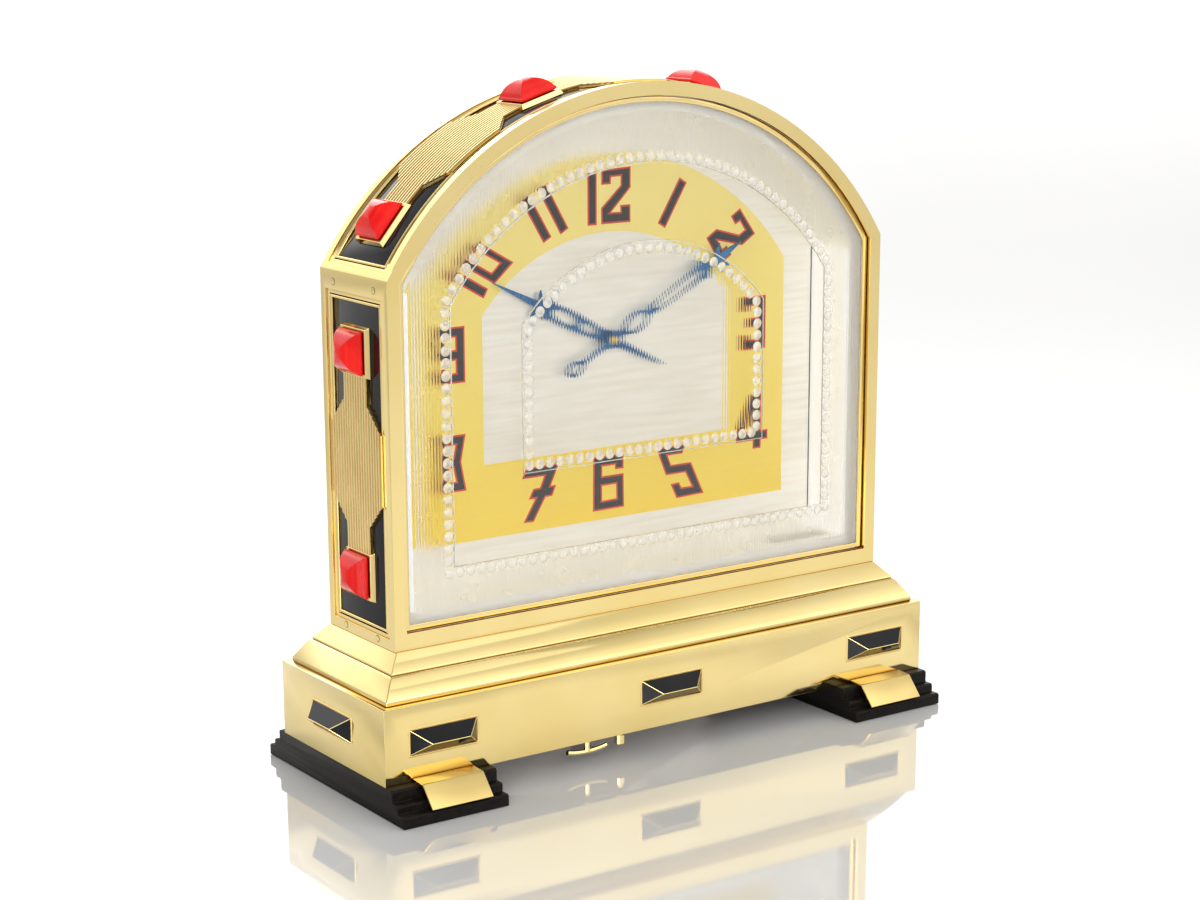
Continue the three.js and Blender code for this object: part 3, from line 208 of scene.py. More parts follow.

# Finishes: how far the painted shade reaches out of an inner corner, and how much the dial glows as painted
# light
CORNER_REACH = 1.1
PAINTED_DIAL_GLOW = 0.1
DIAL_STREAKS = 700

# Stage and light
FLOOR_REACH = 40000
FLOOR_DROP = 0.15
STUDIO_LEVEL = 1.4
STUDIO_SHADES = {
    "Z": [(0.0, 0.6), (0.5, 0.5), (0.56, 0.46), (0.66, 0.95), (0.76, 1.0), (0.86, 0.70), (0.95, 0.50),
          (1.0, 0.44)],
    "Y": [(0.0, 1.42), (0.35, 1.08), (0.6, 0.6), (0.86, 1.7), (1.0, 2.3)],
    "X": [(0.0, 0.5), (0.42, 0.56), (0.6, 1.1), (1.0, 1.1)],
}
LIGHT_AIM = (0, 0, 0.1)
# Each light's name, place in metres, width, height and watts
SOFT_LIGHTS = (
    ("overhead soft light", (-0.2, -0.2, 1.6), 1.6, 1.4, 3),
    ("left soft light", (-1.7, -0.3, 0.7), 0.5, 1.2, 2),
    ("front soft light", (-1.3, -1.6, 0.8), 1.4, 1.0, 22),
)

# Camera: its azimuth, elevation and roll, the point that it looks at, and its distance in metres
CAMERA_TURN = (-34.25, 13.31, -0.34)
CAMERA_TARGET = (-13.5, 0, 72.7)
CAMERA_DISTANCE = 0.7548
CAMERA_LENS = 74.35
CAMERA_SHIFT = (0.0189, 0.0488)

BODY_OF = {node: body for body, nodes in frame["record"]["behaviour"]["bodies"].items() for node in nodes}


# Meshes and pieces

def mesh_of(name, points, faces=(), edges=()):
    mesh = bpy.data.meshes.new(name)
    mesh.from_pydata([Vector(p) * MM for p in points], edges, faces)
    mesh.validate()
    return mesh


def closed_up(mesh):
    """Merges a mesh's doubles and turns its faces outwards."""
    work = bmesh.new()
    work.from_mesh(mesh)
    bmesh.ops.remove_doubles(work, verts=work.verts, dist=1e-7)
    bmesh.ops.recalc_face_normals(work, faces=work.faces)
    work.to_mesh(mesh)
    work.free()
    return mesh


def shaded(mesh, degrees):
    """Smooth shading that stays crisp over edges sharper than the angle."""
    mesh.shade_smooth()
    mesh.set_sharp_from_angle(angle=math.radians(degrees))
    return mesh


def marked(mesh, label, values, kind="FLOAT"):
    """Gives each point of a mesh its value of a named attribute."""
    held = mesh.attributes.new(label, kind, "POINT")
    held.data.foreach_set("value" if kind == "FLOAT" else "vector", values)
    return mesh


def placed(name, data):
    """A new object in the scene."""
    made = bpy.data.objects.new(name, data)
    bpy.context.scene.collection.objects.link(made)
    return made


def dressed(piece, finish):
    piece.data.materials.clear()
    piece.data.materials.append(finish)
    return piece


def kept(piece, body="case", stands_for=()):
    """Sets a finished piece on the body it rides on, and hides the CAD solids it takes the place of."""
    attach(piece, body)
    if stands_for:
        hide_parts(*stands_for)
    return piece


def add_piece(name, mesh, finish, body="case", stands_for=()):
    return kept(dressed(placed(name, mesh), finish), body, stands_for)


def settle_modifiers(piece):
    """Turns a piece and its modifiers into a plain mesh."""
    bpy.context.view_layer.update()
    settled = bpy.data.meshes.new_from_object(
        piece.evaluated_get(bpy.context.evaluated_depsgraph_get()))
    piece.modifiers.clear()
    piece.data = settled
    return piece


def bevelled(piece, width, segments=2, **settings):
    ease = piece.modifiers.new("eased edges", "BEVEL")
    ease.width = width * MM
    ease.segments = segments
    for key, value in settings.items():
        setattr(ease, key, value)
    return settle_modifiers(piece)


def eased_solid(node, word, finish, width, segments=2, broad=None, crisp=False):
    """A CAD solid with its edges eased, as polishing leaves them."""
    mesh = frame["nodes"][node].data.copy()
    work = bmesh.new()
    work.from_mesh(mesh)
    bmesh.ops.remove_doubles(work, verts=work.verts, dist=1e-6)
    bmesh.ops.dissolve_limit(work, angle_limit=math.radians(FLAT_ANGLE), verts=work.verts, edges=work.edges)
    weights = work.edges.layers.float.new("bevel_weight_edge")
    for edge in work.edges:
        if len(edge.link_faces) == 2 and edge.calc_face_angle(0) > math.radians(EASE_ANGLE):
            wide = broad is not None and all(broad(v.co / MM) for v in edge.verts)
            edge[weights] = 1.0 if wide else NARROW_EASE
    work.to_mesh(mesh)
    work.free()
    mesh.shade_smooth()
    piece = bevelled(placed("%s_%s" % (node, word), mesh), width / NARROW_EASE, segments,
                     limit_method="WEIGHT", harden_normals=not crisp)
    if crisp:
        shaded(piece.data, CRISP_ANGLE)
    return kept(dressed(piece, finish), BODY_OF[node], (node,))


# Node trees

class Nodes:
    """A node tree in the making; each call adds a node and gives one of its outputs."""

    prefix = "ShaderNode"

    def __init__(self, tree):
        self.tree = tree
        self.tree.nodes.clear()

    def node(self, kind, inputs=None, output=0, **settings):
        made = self.tree.nodes.new(kind if "Node" in kind else self.prefix + kind)
        for key, value in settings.items():
            setattr(made, key, value)
        for key, value in (inputs or {}).items():
            if isinstance(value, bpy.types.NodeSocket):
                self.tree.links.new(value, made.inputs[key])
            else:
                made.inputs[key].default_value = value
        return made.outputs[output]

    def math(self, operation, first, second=0.0):
        return self.node("ShaderNodeMath", {0: first, 1: second}, operation=operation)

    def colours(self, value, *stops, interpolation="LINEAR"):
        """Colours that follow the value through (position, colour) stops."""
        ramp = self.node("ValToRGB", {"Fac": value})
        band = ramp.node.color_ramp
        band.interpolation = interpolation
        while len(band.elements) < len(stops):
            band.elements.new(0.5)
        for element, (position, colour) in zip(band.elements, stops):
            element.position = position
            element.color = (*colour, 1)
        return ramp


# Finishes

class Finish(Nodes):
    """A material in the making: one principled shader and the nodes that feed it."""

    def __init__(self, name, **sockets):
        self.material = bpy.data.materials.new(name)
        self.material.use_nodes = True
        super().__init__(self.material.node_tree)
        self.shader = self.tree.nodes.new("ShaderNodeBsdfPrincipled")
        output = self.tree.nodes.new("ShaderNodeOutputMaterial")
        self.tree.links.new(self.shader.outputs["BSDF"], output.inputs["Surface"])
        for socket, value in sockets.items():
            self.shader.inputs[socket.replace("_", " ")].default_value = value
        self.place = self.node("TexCoord", output="Object")

    def cloud(self, scale, detail, stretch=None, distortion=0.0):
        """Drifting noise, which a stretch below 1 draws out along that axis."""
        place = self.place
        if stretch:
            place = self.node("Mapping", {"Vector": place, "Scale": stretch})
        return self.node("TexNoise", {"Vector": place, "Scale": scale, "Detail": detail,
                                      "Distortion": distortion}, "Fac")

    def spread(self, value, low, high, start=0.3, end=0.7):
        return self.node("MapRange", {"Value": value, "From Min": start, "From Max": end,
                                      "To Min": low, "To Max": high})

    def mixed(self, share, first, second):
        return self.node("MixRGB", {"Fac": share, "Color1": first, "Color2": second})

    def feed(self, socket, value):
        self.tree.links.new(value, self.shader.inputs[socket])

    def tint(self, value, *stops):
        self.feed("Base Color", self.colours(value, *stops))

    def roughen(self, value, low, high, start=0.3, end=0.7):
        self.feed("Roughness", self.spread(value, low, high, start, end))

    def relief(self, height, depth, strength=1.0):
        self.feed("Normal", self.node("Bump", {"Height": height, "Distance": depth * MM,
                                               "Strength": strength}))


def gilt_finish(name, deep, pale, corner, rough_low, rough_high):
    """Gilt with painted shade in its inner corners: it turns brown where ambient occlusion finds a corner."""
    finish = Finish(name, Metallic=1.0)
    polished = finish.colours(finish.cloud(28, 2), (0.3, deep), (0.7, pale))
    openness = finish.node("AmbientOcclusion", {"Distance": CORNER_REACH * MM}, "AO", samples=6)
    # Painted shade: the corner colour, darker still deep in a corner, is mixed in where ambient occlusion is
    # low
    shade_tone = finish.colours(openness, (0.22, tuple(c * 0.45 for c in corner)), (0.5, corner))
    finish.feed("Base Color", finish.mixed(finish.spread(openness, 0, 1, 0.5, 0.88), shade_tone, polished))
    finish.roughen(finish.cloud(160, 4), rough_low, rough_high)
    finish.relief(finish.cloud(900, 2, (1, 1, 0.08)), 0.002, 0.12)
    return finish.material


def reed_finish(name, groove, crest):
    """Gilt with painted shade in the grooves between the reeds, which run across Y."""
    finish = Finish(name, Metallic=1.0)
    across = finish.node("SeparateXYZ", {"Vector": finish.place}, "Y")
    fold = finish.math("PINGPONG", finish.math("DIVIDE", across, REED_PITCH * MM), 0.5)
    shade_tone = finish.math("MULTIPLY", finish.cloud(90, 3), 0.16)
    # Painted shade: the colour darkens from crest to groove, with a little noise in the level
    finish.tint(finish.math("ADD", fold, shade_tone), (0.24, crest), (0.56, groove))
    finish.roughen(fold, 0.12, 0.3, 0.1, 0.5)
    return finish.material


def lacquer_finish(name, dark, light):
    """Lacquered metal, in drifting patches."""
    finish = Finish(name, Metallic=0.6, Specular_IOR_Level=0.4)
    finish.tint(finish.cloud(22, 4, distortion=2.2), (0.42, dark), (0.6, light))
    finish.roughen(finish.cloud(120, 3), 0.16, 0.3)
    return finish.material


def stone_finish(name, dark, light, scale, roughness, coat=0.0, gloss=0.28):
    finish = Finish(name, Coat_Weight=coat, Coat_Roughness=0.03, IOR=1.5, Specular_IOR_Level=gloss)
    finish.tint(finish.cloud(scale, 4), (0.35, dark), (0.7, light))
    finish.roughen(finish.cloud(scale * 4, 3), roughness * 0.7, roughness * 1.4)
    finish.relief(finish.cloud(scale * 2, 1), 0.02, 0.2)
    return finish.material


def ebony_finish():
    finish = Finish("ebonised wood", IOR=1.5, Specular_IOR_Level=0.12)
    grain = finish.cloud(700, 5, (1, 0.05, 1))
    finish.tint(grain, (0.3, (0.002, 0.0015, 0.001)), (0.75, (0.010, 0.0075, 0.0055)))
    finish.roughen(grain, 0.34, 0.5)
    finish.relief(grain, 0.05, 0.5)
    return finish.material


def silvered_finish():
    # Painted light: the dial glows a little, which brightens it behind the glass
    finish = Finish("silvered dial, brushed sideways", Metallic=0.55,
                    Emission_Color=(0.97, 0.94, 0.87, 1), Emission_Strength=PAINTED_DIAL_GLOW)
    strokes = finish.cloud(2600, 4, (0.02, 1, 1))
    streaks = finish.cloud(DIAL_STREAKS, 3, (0.07, 1, 1))
    shade = finish.mixed(0.45, finish.cloud(18, 3, (0.4, 1, 1)), streaks)
    finish.tint(shade, (0.36, (0.86, 0.81, 0.71)), (0.6, (0.975, 0.95, 0.885)))
    finish.roughen(strokes, 0.32, 0.55)
    finish.relief(strokes, 0.012, 0.5)
    return finish.material


def enamel_finish():
    # Painted light: the ring glows a little, which brightens it behind the glass
    finish = Finish("yellow ring, deeper below", IOR=1.5,
                    Emission_Color=(0.98, 0.77, 0.2, 1), Emission_Strength=PAINTED_DIAL_GLOW)
    streaks = finish.cloud(DIAL_STREAKS, 3, (0.07, 1, 1))
    uneven = finish.math("MULTIPLY", finish.mixed(0.4, finish.cloud(30, 3, (0.5, 1, 1)), streaks), 0.045)
    level = finish.math("ADD", finish.node("SeparateXYZ", {"Vector": finish.place}, "Z"), uneven)
    finish.tint(finish.spread(level, 0, 1, 0.085, 0.19),
                (0.0, (0.98, 0.68, 0.035)), (0.2, (0.985, 0.73, 0.08)),
                (0.55, (0.985, 0.79, 0.18)), (1.0, (0.985, 0.83, 0.29)))
    finish.roughen(finish.cloud(400, 3), 0.35, 0.5)
    finish.relief(finish.cloud(2200, 2, (0.05, 1, 1)), 0.008, 0.35)
    return finish.material


def paint_finish(name, colour, roughness, uneven=0.85, painted_glow=0.0):
    """Matt paint; in the light well it glows a little, painted light that brightens it."""
    finish = Finish(name, IOR=1.5, Emission_Color=(*colour, 1), Emission_Strength=painted_glow)
    finish.tint(finish.cloud(90, 4), (0.35, tuple(c * uneven for c in colour)), (0.65, colour))
    finish.roughen(finish.cloud(600, 3), roughness * 0.8, roughness * 1.2)
    finish.relief(finish.cloud(1800, 2), 0.006, 0.3)
    return finish.material


def metal_finish(name, dark, light, roughness):
    finish = Finish(name, Metallic=1.0)
    finish.tint(finish.cloud(60, 3), (0.3, dark), (0.7, light))
    strokes = finish.cloud(1500, 3)
    finish.roughen(strokes, roughness * 0.75, roughness * 1.3)
    finish.relief(strokes, 0.006, 0.4)
    return finish.material


def glass_finish(name, tint, clear, frosted, see_through=1.0):
    """Glass that is a little duller where it is fluted, and milky where less of it is see-through."""
    finish = Finish(name, Transmission_Weight=see_through, IOR=1.42, Specular_IOR_Level=0.15,
                    Base_Color=(*tint, 1))
    share = finish.node("Attribute", output="Fac", attribute_name="fluted")
    level = finish.spread(share, clear, frosted, INNER_SHARE * 0.3, 1)
    haze = finish.spread(finish.cloud(120, 3), 0.8, 1.2)
    finish.feed("Roughness", finish.math("MULTIPLY", level, haze))
    return finish.material


# Each gilt's third colour is the painted shade of its inner corners
GILT = gilt_finish("polished gilt", (0.86, 0.668, 0.27), (0.905, 0.73, 0.34), (0.66, 0.37, 0.07),
                   0.07, 0.12)
# Painted shade: the foot straps' gilt is a darker copy of the polished gilt, so straps that face up and
# forward look less brightly lit
SHADED_STRAP_GILT = gilt_finish("gilt of the foot straps", (0.62, 0.465, 0.175), (0.67, 0.505, 0.20),
                         (0.50, 0.28, 0.05), 0.10, 0.15)
BASE_LACQUER = lacquer_finish("brown lacquer under the base", (0.035, 0.02, 0.012), (0.26, 0.17, 0.10))
# The groove colour is painted shade
REED_GILT = reed_finish("reeded gilt", (0.30, 0.16, 0.03), (0.92, 0.71, 0.32))
BRASS = metal_finish("movement brass", (0.70, 0.47, 0.17), (0.82, 0.60, 0.27), 0.32)
STEEL = metal_finish("ground steel", (0.50, 0.51, 0.53), (0.68, 0.69, 0.70), 0.28)
BLUED = metal_finish("blued steel", (0.02, 0.09, 0.24), (0.05, 0.20, 0.42), 0.24)
BLACK_STONE = stone_finish("polished black stone", (0.004, 0.004, 0.005), (0.010, 0.010, 0.012), 60, 0.05)
RED_STONE = stone_finish("polished red stone", (0.68, 0.004, 0.003), (0.86, 0.012, 0.006), 140, 0.09,
                         coat=0.16, gloss=0.2)
EBONY = ebony_finish()
SILVERED = silvered_finish()
ENAMEL = enamel_finish()
# Painted light: the liner paint and the strip paint glow, which brightens the light well
WHITE_PAINT = paint_finish("white liner paint", (0.97, 0.945, 0.88), 0.35, uneven=0.975, painted_glow=0.10)
STRIP_PAINT = paint_finish("cold white strip paint", (0.98, 0.985, 0.99), 0.3, uneven=0.985, painted_glow=0.3)
NUMERAL_DARK = paint_finish("dark numeral paint", (0.009, 0.007, 0.007), 0.5)
NUMERAL_RED = paint_finish("red numeral outline", (0.85, 0.045, 0.02), 0.4)
DARK_PLASTIC = paint_finish("dark moulded plastic", (0.02, 0.018, 0.016), 0.45)
GLASS = glass_finish("moulded front glass", (1.0, 0.994, 0.97), 0.008, 0.30)
PEARL_GLASS = glass_finish("glass of the pearls", (0.96, 0.945, 0.90), 0.05, 0.05, see_through=0.7)
BULB_GLASS = glass_finish("lamp glass", (1.0, 0.97, 0.9), 0.1, 0.1)

SLOT_FINISH = {
    "gilt": GILT, "gilt_reeded": REED_GILT, "movement_brass": BRASS, "black_stone": BLACK_STONE,
    "ebony": EBONY, "red_stone": RED_STONE, "clear_glass": BULB_GLASS, "silvered": SILVERED,
    "yellow_enamel": ENAMEL, "white_paint": WHITE_PAINT, "blued_steel": BLUED, "steel": STEEL,
    "dark_plastic": DARK_PLASTIC,
}


def finish_solids():
    """Gives every CAD solid the finish of its material slot."""
    for row in frame["record"]["subparts"]:
        dressed(frame["nodes"][row["node"]], SLOT_FINISH[row["material_slot"]])


# Geometry Nodes

class Recipe(Nodes):
    """A Geometry Nodes tree in the making, with named inputs."""

    prefix = "GeometryNode"

    def __init__(self, name, **sizes):
        super().__init__(bpy.data.node_groups.new(name, "GeometryNodeTree"))
        self.tree.interface.new_socket("Geometry", in_out="INPUT", socket_type="NodeSocketGeometry")
        self.sockets = {}
        for label, value in sizes.items():
            kind = "NodeSocketInt" if isinstance(value, int) else "NodeSocketFloat"
            socket = self.tree.interface.new_socket(label, in_out="INPUT", socket_type=kind)
            socket.default_value = value
            self.sockets[label] = (socket.identifier, value)
        self.tree.interface.new_socket("Geometry", in_out="OUTPUT", socket_type="NodeSocketGeometry")
        self.given = self.tree.nodes.new("NodeGroupInput").outputs
        self.end = self.tree.nodes.new("NodeGroupOutput")

    def close(self, shape, finish):
        """Ends the tree in real geometry with its material."""
        real = self.node("GeometryNodeRealizeInstances", {"Geometry": shape})
        painted = self.node("GeometryNodeSetMaterial", {"Geometry": real, "Material": finish})
        self.tree.links.new(painted, self.end.inputs["Geometry"])
        return self

    def sweep(self, path, profile, finish):
        bars = self.node("CurveToMesh", {"Curve": path, "Profile Curve": profile, "Fill Caps": True})
        return self.close(bars, finish)

    def path(self):
        """The given mesh's edges as curves."""
        return self.node("MeshToCurve", {"Mesh": self.given["Geometry"]})

    def outward(self):
        return self.node("InputNamedAttribute", {"Name": "outward"}, data_type="FLOAT_VECTOR")

    def make(self, name, mesh, slot, body="case", **sizes):
        """Runs the recipe on a mesh and keeps the result as a plain piece."""
        piece = placed(name, mesh)
        modifier = piece.modifiers.new(self.tree.name, "NODES")
        modifier.node_group = self.tree
        for label, (identifier, value) in self.sockets.items():
            modifier[identifier] = sizes.get(label, value)
        settle_modifiers(piece)
        shaded(piece.data, RECIPE_ANGLE)
        return kept(piece, body)

    def lay(self, name, runs, slot, body="case", **sizes):
        """Runs the recipe along runs of points."""
        return self.make(name, line_mesh(name, runs), slot, body, **sizes)


def half_round_recipe(name, finish):
    """A half-round moulding along a path in a plane of constant Y, with its flat side to the rear."""
    recipe = Recipe(name, Radius=GLASS_LINE * MM)
    level = recipe.node("SetCurveNormal", {"Curve": recipe.path(), "Normal": (0, -1, 0)}, mode="FREE")
    arc = recipe.node("CurveArc", {"Resolution": 8, "Radius": recipe.given["Radius"], "Start Angle": 0.0,
                                   "Sweep Angle": math.pi, "Connect Center": False}, mode="RADIUS")
    profile = recipe.node("SetSplineCyclic", {"Geometry": arc, "Cyclic": True})
    return recipe.sweep(level, profile, finish)


def wire_recipe(name, finish):
    """A round bar laid along every edge of a mesh."""
    recipe = Recipe(name, Radius=0.0002, Sides=8)
    profile = recipe.node("CurvePrimitiveCircle", {"Resolution": recipe.given["Sides"],
                                                   "Radius": recipe.given["Radius"]})
    return recipe.sweep(recipe.path(), profile, finish)


def pearl_recipe(name, finish):
    """Shallow round caps set at an even pitch along a path, domes to the front."""
    recipe = Recipe(name, Radius=PEARL_RADIUS * MM, Pitch=PEARL_PITCH * MM, Rise=PEARL_RISE * MM)
    sums = recipe.math
    radius, rise = recipe.given["Radius"], recipe.given["Rise"]
    places = recipe.node("ResampleCurve", {"Curve": recipe.path(), "Length": recipe.given["Pitch"]},
                         mode="LENGTH")
    ball = recipe.node("MeshUVSphere", {"Segments": 14, "Rings": 12, "Radius": radius})
    axes = recipe.node("ShaderNodeSeparateXYZ", {0: recipe.node("InputPosition")}).node.outputs
    reach = sums("ADD", sums("MULTIPLY", axes["X"], axes["X"]), sums("MULTIPLY", axes["Y"], axes["Y"]))
    curve = sums("DIVIDE", sums("ADD", sums("MULTIPLY", radius, radius), sums("MULTIPLY", rise, rise)),
                 sums("MULTIPLY", rise, 2.0))
    level = sums("SQRT", sums("SUBTRACT", sums("MULTIPLY", curve, curve), reach))
    height = sums("MAXIMUM", sums("SUBTRACT", level, sums("SUBTRACT", curve, rise)), 0.0)
    front = sums("GREATER_THAN", axes["Z"], 1e-7)
    lifted = recipe.node("ShaderNodeCombineXYZ", {0: axes["X"], 1: axes["Y"],
                                                  2: sums("MULTIPLY", height, front)})
    cap = recipe.node("SetPosition", {"Geometry": ball, "Position": lifted})
    beads = recipe.node("InstanceOnPoints", {"Points": places, "Instance": cap,
                                             "Rotation": (math.pi / 2, 0, 0)})
    return recipe.close(beads, finish)


def placed_recipe(name, template):
    """Sets a copy of the template on every point, its Z along the point's outward direction."""
    recipe = Recipe(name, Scale=1.0)
    turn = recipe.node("FunctionNodeAlignRotationToVector", {"Vector": recipe.outward()}, axis="Z")
    shape = recipe.node("ObjectInfo", {"Object": template}, "Geometry", transform_space="ORIGINAL")
    copies = recipe.node("InstanceOnPoints", {"Points": recipe.given["Geometry"], "Instance": shape,
                                              "Rotation": turn, "Scale": recipe.given["Scale"]})
    return recipe.close(copies, template.data.materials[0])


def reed_recipe(name, finish):
    """Lifts the front of a plate into round reeds of one pitch, side by side across Y."""
    recipe = Recipe(name, Pitch=REED_PITCH * MM, Height=REED_HEIGHT * MM)
    sums = recipe.math
    across = recipe.node("ShaderNodeSeparateXYZ", {0: recipe.node("InputPosition")}, "Y")
    fold = sums("MULTIPLY", sums("PINGPONG", sums("DIVIDE", across, recipe.given["Pitch"]), 0.5), 2.0)
    bow = sums("SQRT", sums("SUBTRACT", 1.0, sums("MULTIPLY", fold, fold)))
    lift = recipe.node("ShaderNodeVectorMath", {0: recipe.outward(),
                                                "Scale": sums("MULTIPLY", bow, recipe.given["Height"])},
                       operation="SCALE")
    reeded = recipe.node("SetPosition", {"Geometry": recipe.given["Geometry"], "Offset": lift})
    return recipe.close(reeded, finish)


def line_mesh(name, runs):
    """Edges through the given runs of points; a run that ends where it starts is closed."""
    points, edges = [], []
    for run in runs:
        closed = run[0] == run[-1]
        corners = run[:-1] if closed else run
        first = len(points)
        points += corners
        edges += [(first + k, first + k + 1) for k in range(len(corners) - 1)]
        if closed:
            edges.append((first + len(corners) - 1, first))
    return mesh_of(name, points, edges=edges)


def tombstone(half, bottom, radius, centre):
    """A closed path on the glass: flat bottom, straight sides and an arc over them."""
    lean = math.asin(half / radius)
    count = max(8, int(2 * lean * radius / ARC_STEP))
    run = [(-half, PATTERN_FRONT, bottom), (half, PATTERN_FRONT, bottom)]
    for k in range(count + 1):
        angle = lean - 2 * lean * k / count
        run.append((radius * math.sin(angle), PATTERN_FRONT, centre + radius * math.cos(angle)))
    return run + [run[0]]


def over_arch(radius, angle, y):
    """The point over the case's arch at this angle from upright."""
    return radius * math.sin(angle), y, ARCH_CENTRE + radius * math.cos(angle)


# The case and its gilt

def on_front_outline(corner):
    """True on the outer edge of the case's front."""
    reach = math.hypot(corner.x, corner.z - ARCH_CENTRE)
    outside = abs(corner.x) > CASE_HALF - OUTLINE_REACH or reach > ARCH_RADIUS - OUTLINE_REACH
    return corner.y < CASE_FRONT + OUTLINE_REACH and outside


# Which solids are eased: what their names end in, finish, material slot, ease and nodes
EASED = (
    ("polished", GILT, "gilt", 0.3, ("plinth", "lower_moulding")),
    ("polished", GILT, "gilt", 0.25, ("upper_moulding",)),
    ("polished", GILT, "gilt", 0.2, ("glass_bezel",)),
    ("polished", GILT, "gilt", 0.25, ("rear_door",)),
    ("lacquered", BASE_LACQUER, "movement_brass", 0.2, ("base_plate",)),
    ("polished", SHADED_STRAP_GILT, "gilt", 0.2, ("foot_strap_front_right", "foot_strap_front_left",
                                           "foot_strap_rear_right", "foot_strap_rear_left")),
    ("polished", GILT, "gilt_reeded", 0.15, ("ornament_left", "ornament_right", "ornament_arch")),
    ("ebonised", EBONY, "ebony", 0.25, ("foot_left", "foot_right")),
    ("polished", BLACK_STONE, "black_stone", 0.1, ("panel_left", "panel_right", "panel_arch")),
)


def build_case():
    eased_solid("case_body", "polished", GILT, CASE_EASE, segments=1, broad=on_front_outline,
                crisp=True)
    for word, finish, slot, width, nodes in EASED:
        for node in nodes:
            eased_solid(node, word, finish, width)


def build_fillets():
    """A small round moulding inside each opening, on the border of the black panel."""
    recipe = wire_recipe("fillet round a panel", GILT)
    edge = PANEL_HALF - FILLET_IN
    bar = dict(Radius=FILLET * MM, Sides=12)
    low, high = SIDE_LOW + FILLET_IN, SIDE_HIGH - FILLET_IN
    for name, side in (("fillet_left", -1), ("fillet_right", 1)):
        x = side * (CASE_HALF - PANEL_RECESS + FILLET_SEAT)
        runs = [[(x, y, low - FILLET), (x, y, high + FILLET)] for y in (-edge, edge)]
        runs += [[(x, -edge - FILLET, z), (x, edge + FILLET, z)] for z in (low, high)]
        recipe.lay(name, runs, "gilt", **bar)
    radius = ARCH_RADIUS - PANEL_RECESS + FILLET_SEAT
    reach = math.radians(ARCH_PANEL_ANGLE - math.degrees(FILLET_IN / radius))
    steps = 60
    runs = [[over_arch(radius, reach * (2 * k / steps - 1), y) for k in range(steps + 1)]
            for y in (-edge, edge)]
    runs += [[over_arch(radius, reach * side, y) for y in (-edge - FILLET, edge + FILLET)]
             for side in (-1, 1)]
    recipe.lay("fillet_arch", runs, "gilt", **bar)


# Pins and screws

# Low turned heads, as (radius, height) pairs that start and end on the axis
JOINT_PROFILE = [(0, 0.01), (PIN_JOINT, 0.01), (PIN_JOINT, 0.03), (0, 0.03)]
PIN_PROFILE = [(0, 0.02), (PIN_RADIUS, 0.02), (PIN_RADIUS, 0.06), (PIN_RADIUS * 0.8, 0.09), (0, 0.12)]
SCREW_PROFILE = [(0, 0.02), (2.3, 0.02), (2.3, 0.35), (2.0, 0.7), (0, 0.95)]


def set_on_places(name, profile, finish, slot, places):
    """One turned head on each (place, outward direction)."""
    upright = [(radius, -height) for radius, height in profile]
    head = turned_work(name + "_template", upright, (0, 0), steps=24)
    head.transform(Matrix.Rotation(math.radians(-90), 4, "X"))
    head.materials.append(finish)
    template = placed(name + "_template", head)
    spots = marked(mesh_of(name, [place for place, outward in places]), "outward",
                   [value for place, outward in places for value in outward], "FLOAT_VECTOR")
    placed_recipe(name, template).make(name, spots, slot)
    bpy.data.objects.remove(template)


def build_pins():
    """Flush pins in the side rails, each in a fine dark joint, and the screws under the base plate."""
    beside = [((side * CASE_HALF, y, z), (side, 0, 0)) for side in (-1, 1) for y, z in SIDE_PINS]
    screws = [(x, y, BASE_BOTTOM) for x in (-BASE_SCREW_X, 0, BASE_SCREW_X)
              for y in (-BASE_SCREW_Y, BASE_SCREW_Y)]
    set_on_places("pin_joints", JOINT_PROFILE, DARK_PLASTIC, "dark_plastic", beside)
    set_on_places("side_pins", PIN_PROFILE, GILT, "gilt", beside)
    set_on_places("base_screws", SCREW_PROFILE, STEEL, "steel", [(place, (0, 0, -1)) for place in screws])
    runs = []
    for k, (x, y, z) in enumerate(screws):
        angle = math.radians(SCREW_TURN + SCREW_STEP * k)
        middle = Vector((x, y, z - SCREW_SLOT_DEPTH))
        reach = Vector((math.cos(angle), math.sin(angle), 0)) * SCREW_SLOT_HALF
        runs.append([tuple(middle - reach), tuple(middle + reach)])
    recipe = wire_recipe("slots in the screw heads", DARK_PLASTIC)
    recipe.lay("base_screw_slots", runs, "dark_plastic", Radius=SCREW_SLOT * MM, Sides=6)


# The reeded ornaments

def reed_reach(offset):
    """How far a reed at this offset runs from the middle of its strap."""
    if abs(offset) <= NECK_HALF:
        return (SETTING_SPACING - SETTING_SIZE) / 2
    lean = (WAIST_HALF - abs(offset)) / (WAIST_HALF - NECK_HALF)
    return WAIST_LENGTH / 2 + lean * WAIST_SLOPE


def reed_offsets():
    """Places across a strap, close enough to round each reed, and the corners of its outline."""
    count = int(WAIST_HALF * REED_STEPS / REED_PITCH)
    places = {round(k * REED_PITCH / REED_STEPS, 4) for k in range(-count, count + 1)}
    return sorted(places | {-WAIST_HALF, -NECK_HALF, NECK_HALF, WAIST_HALF})


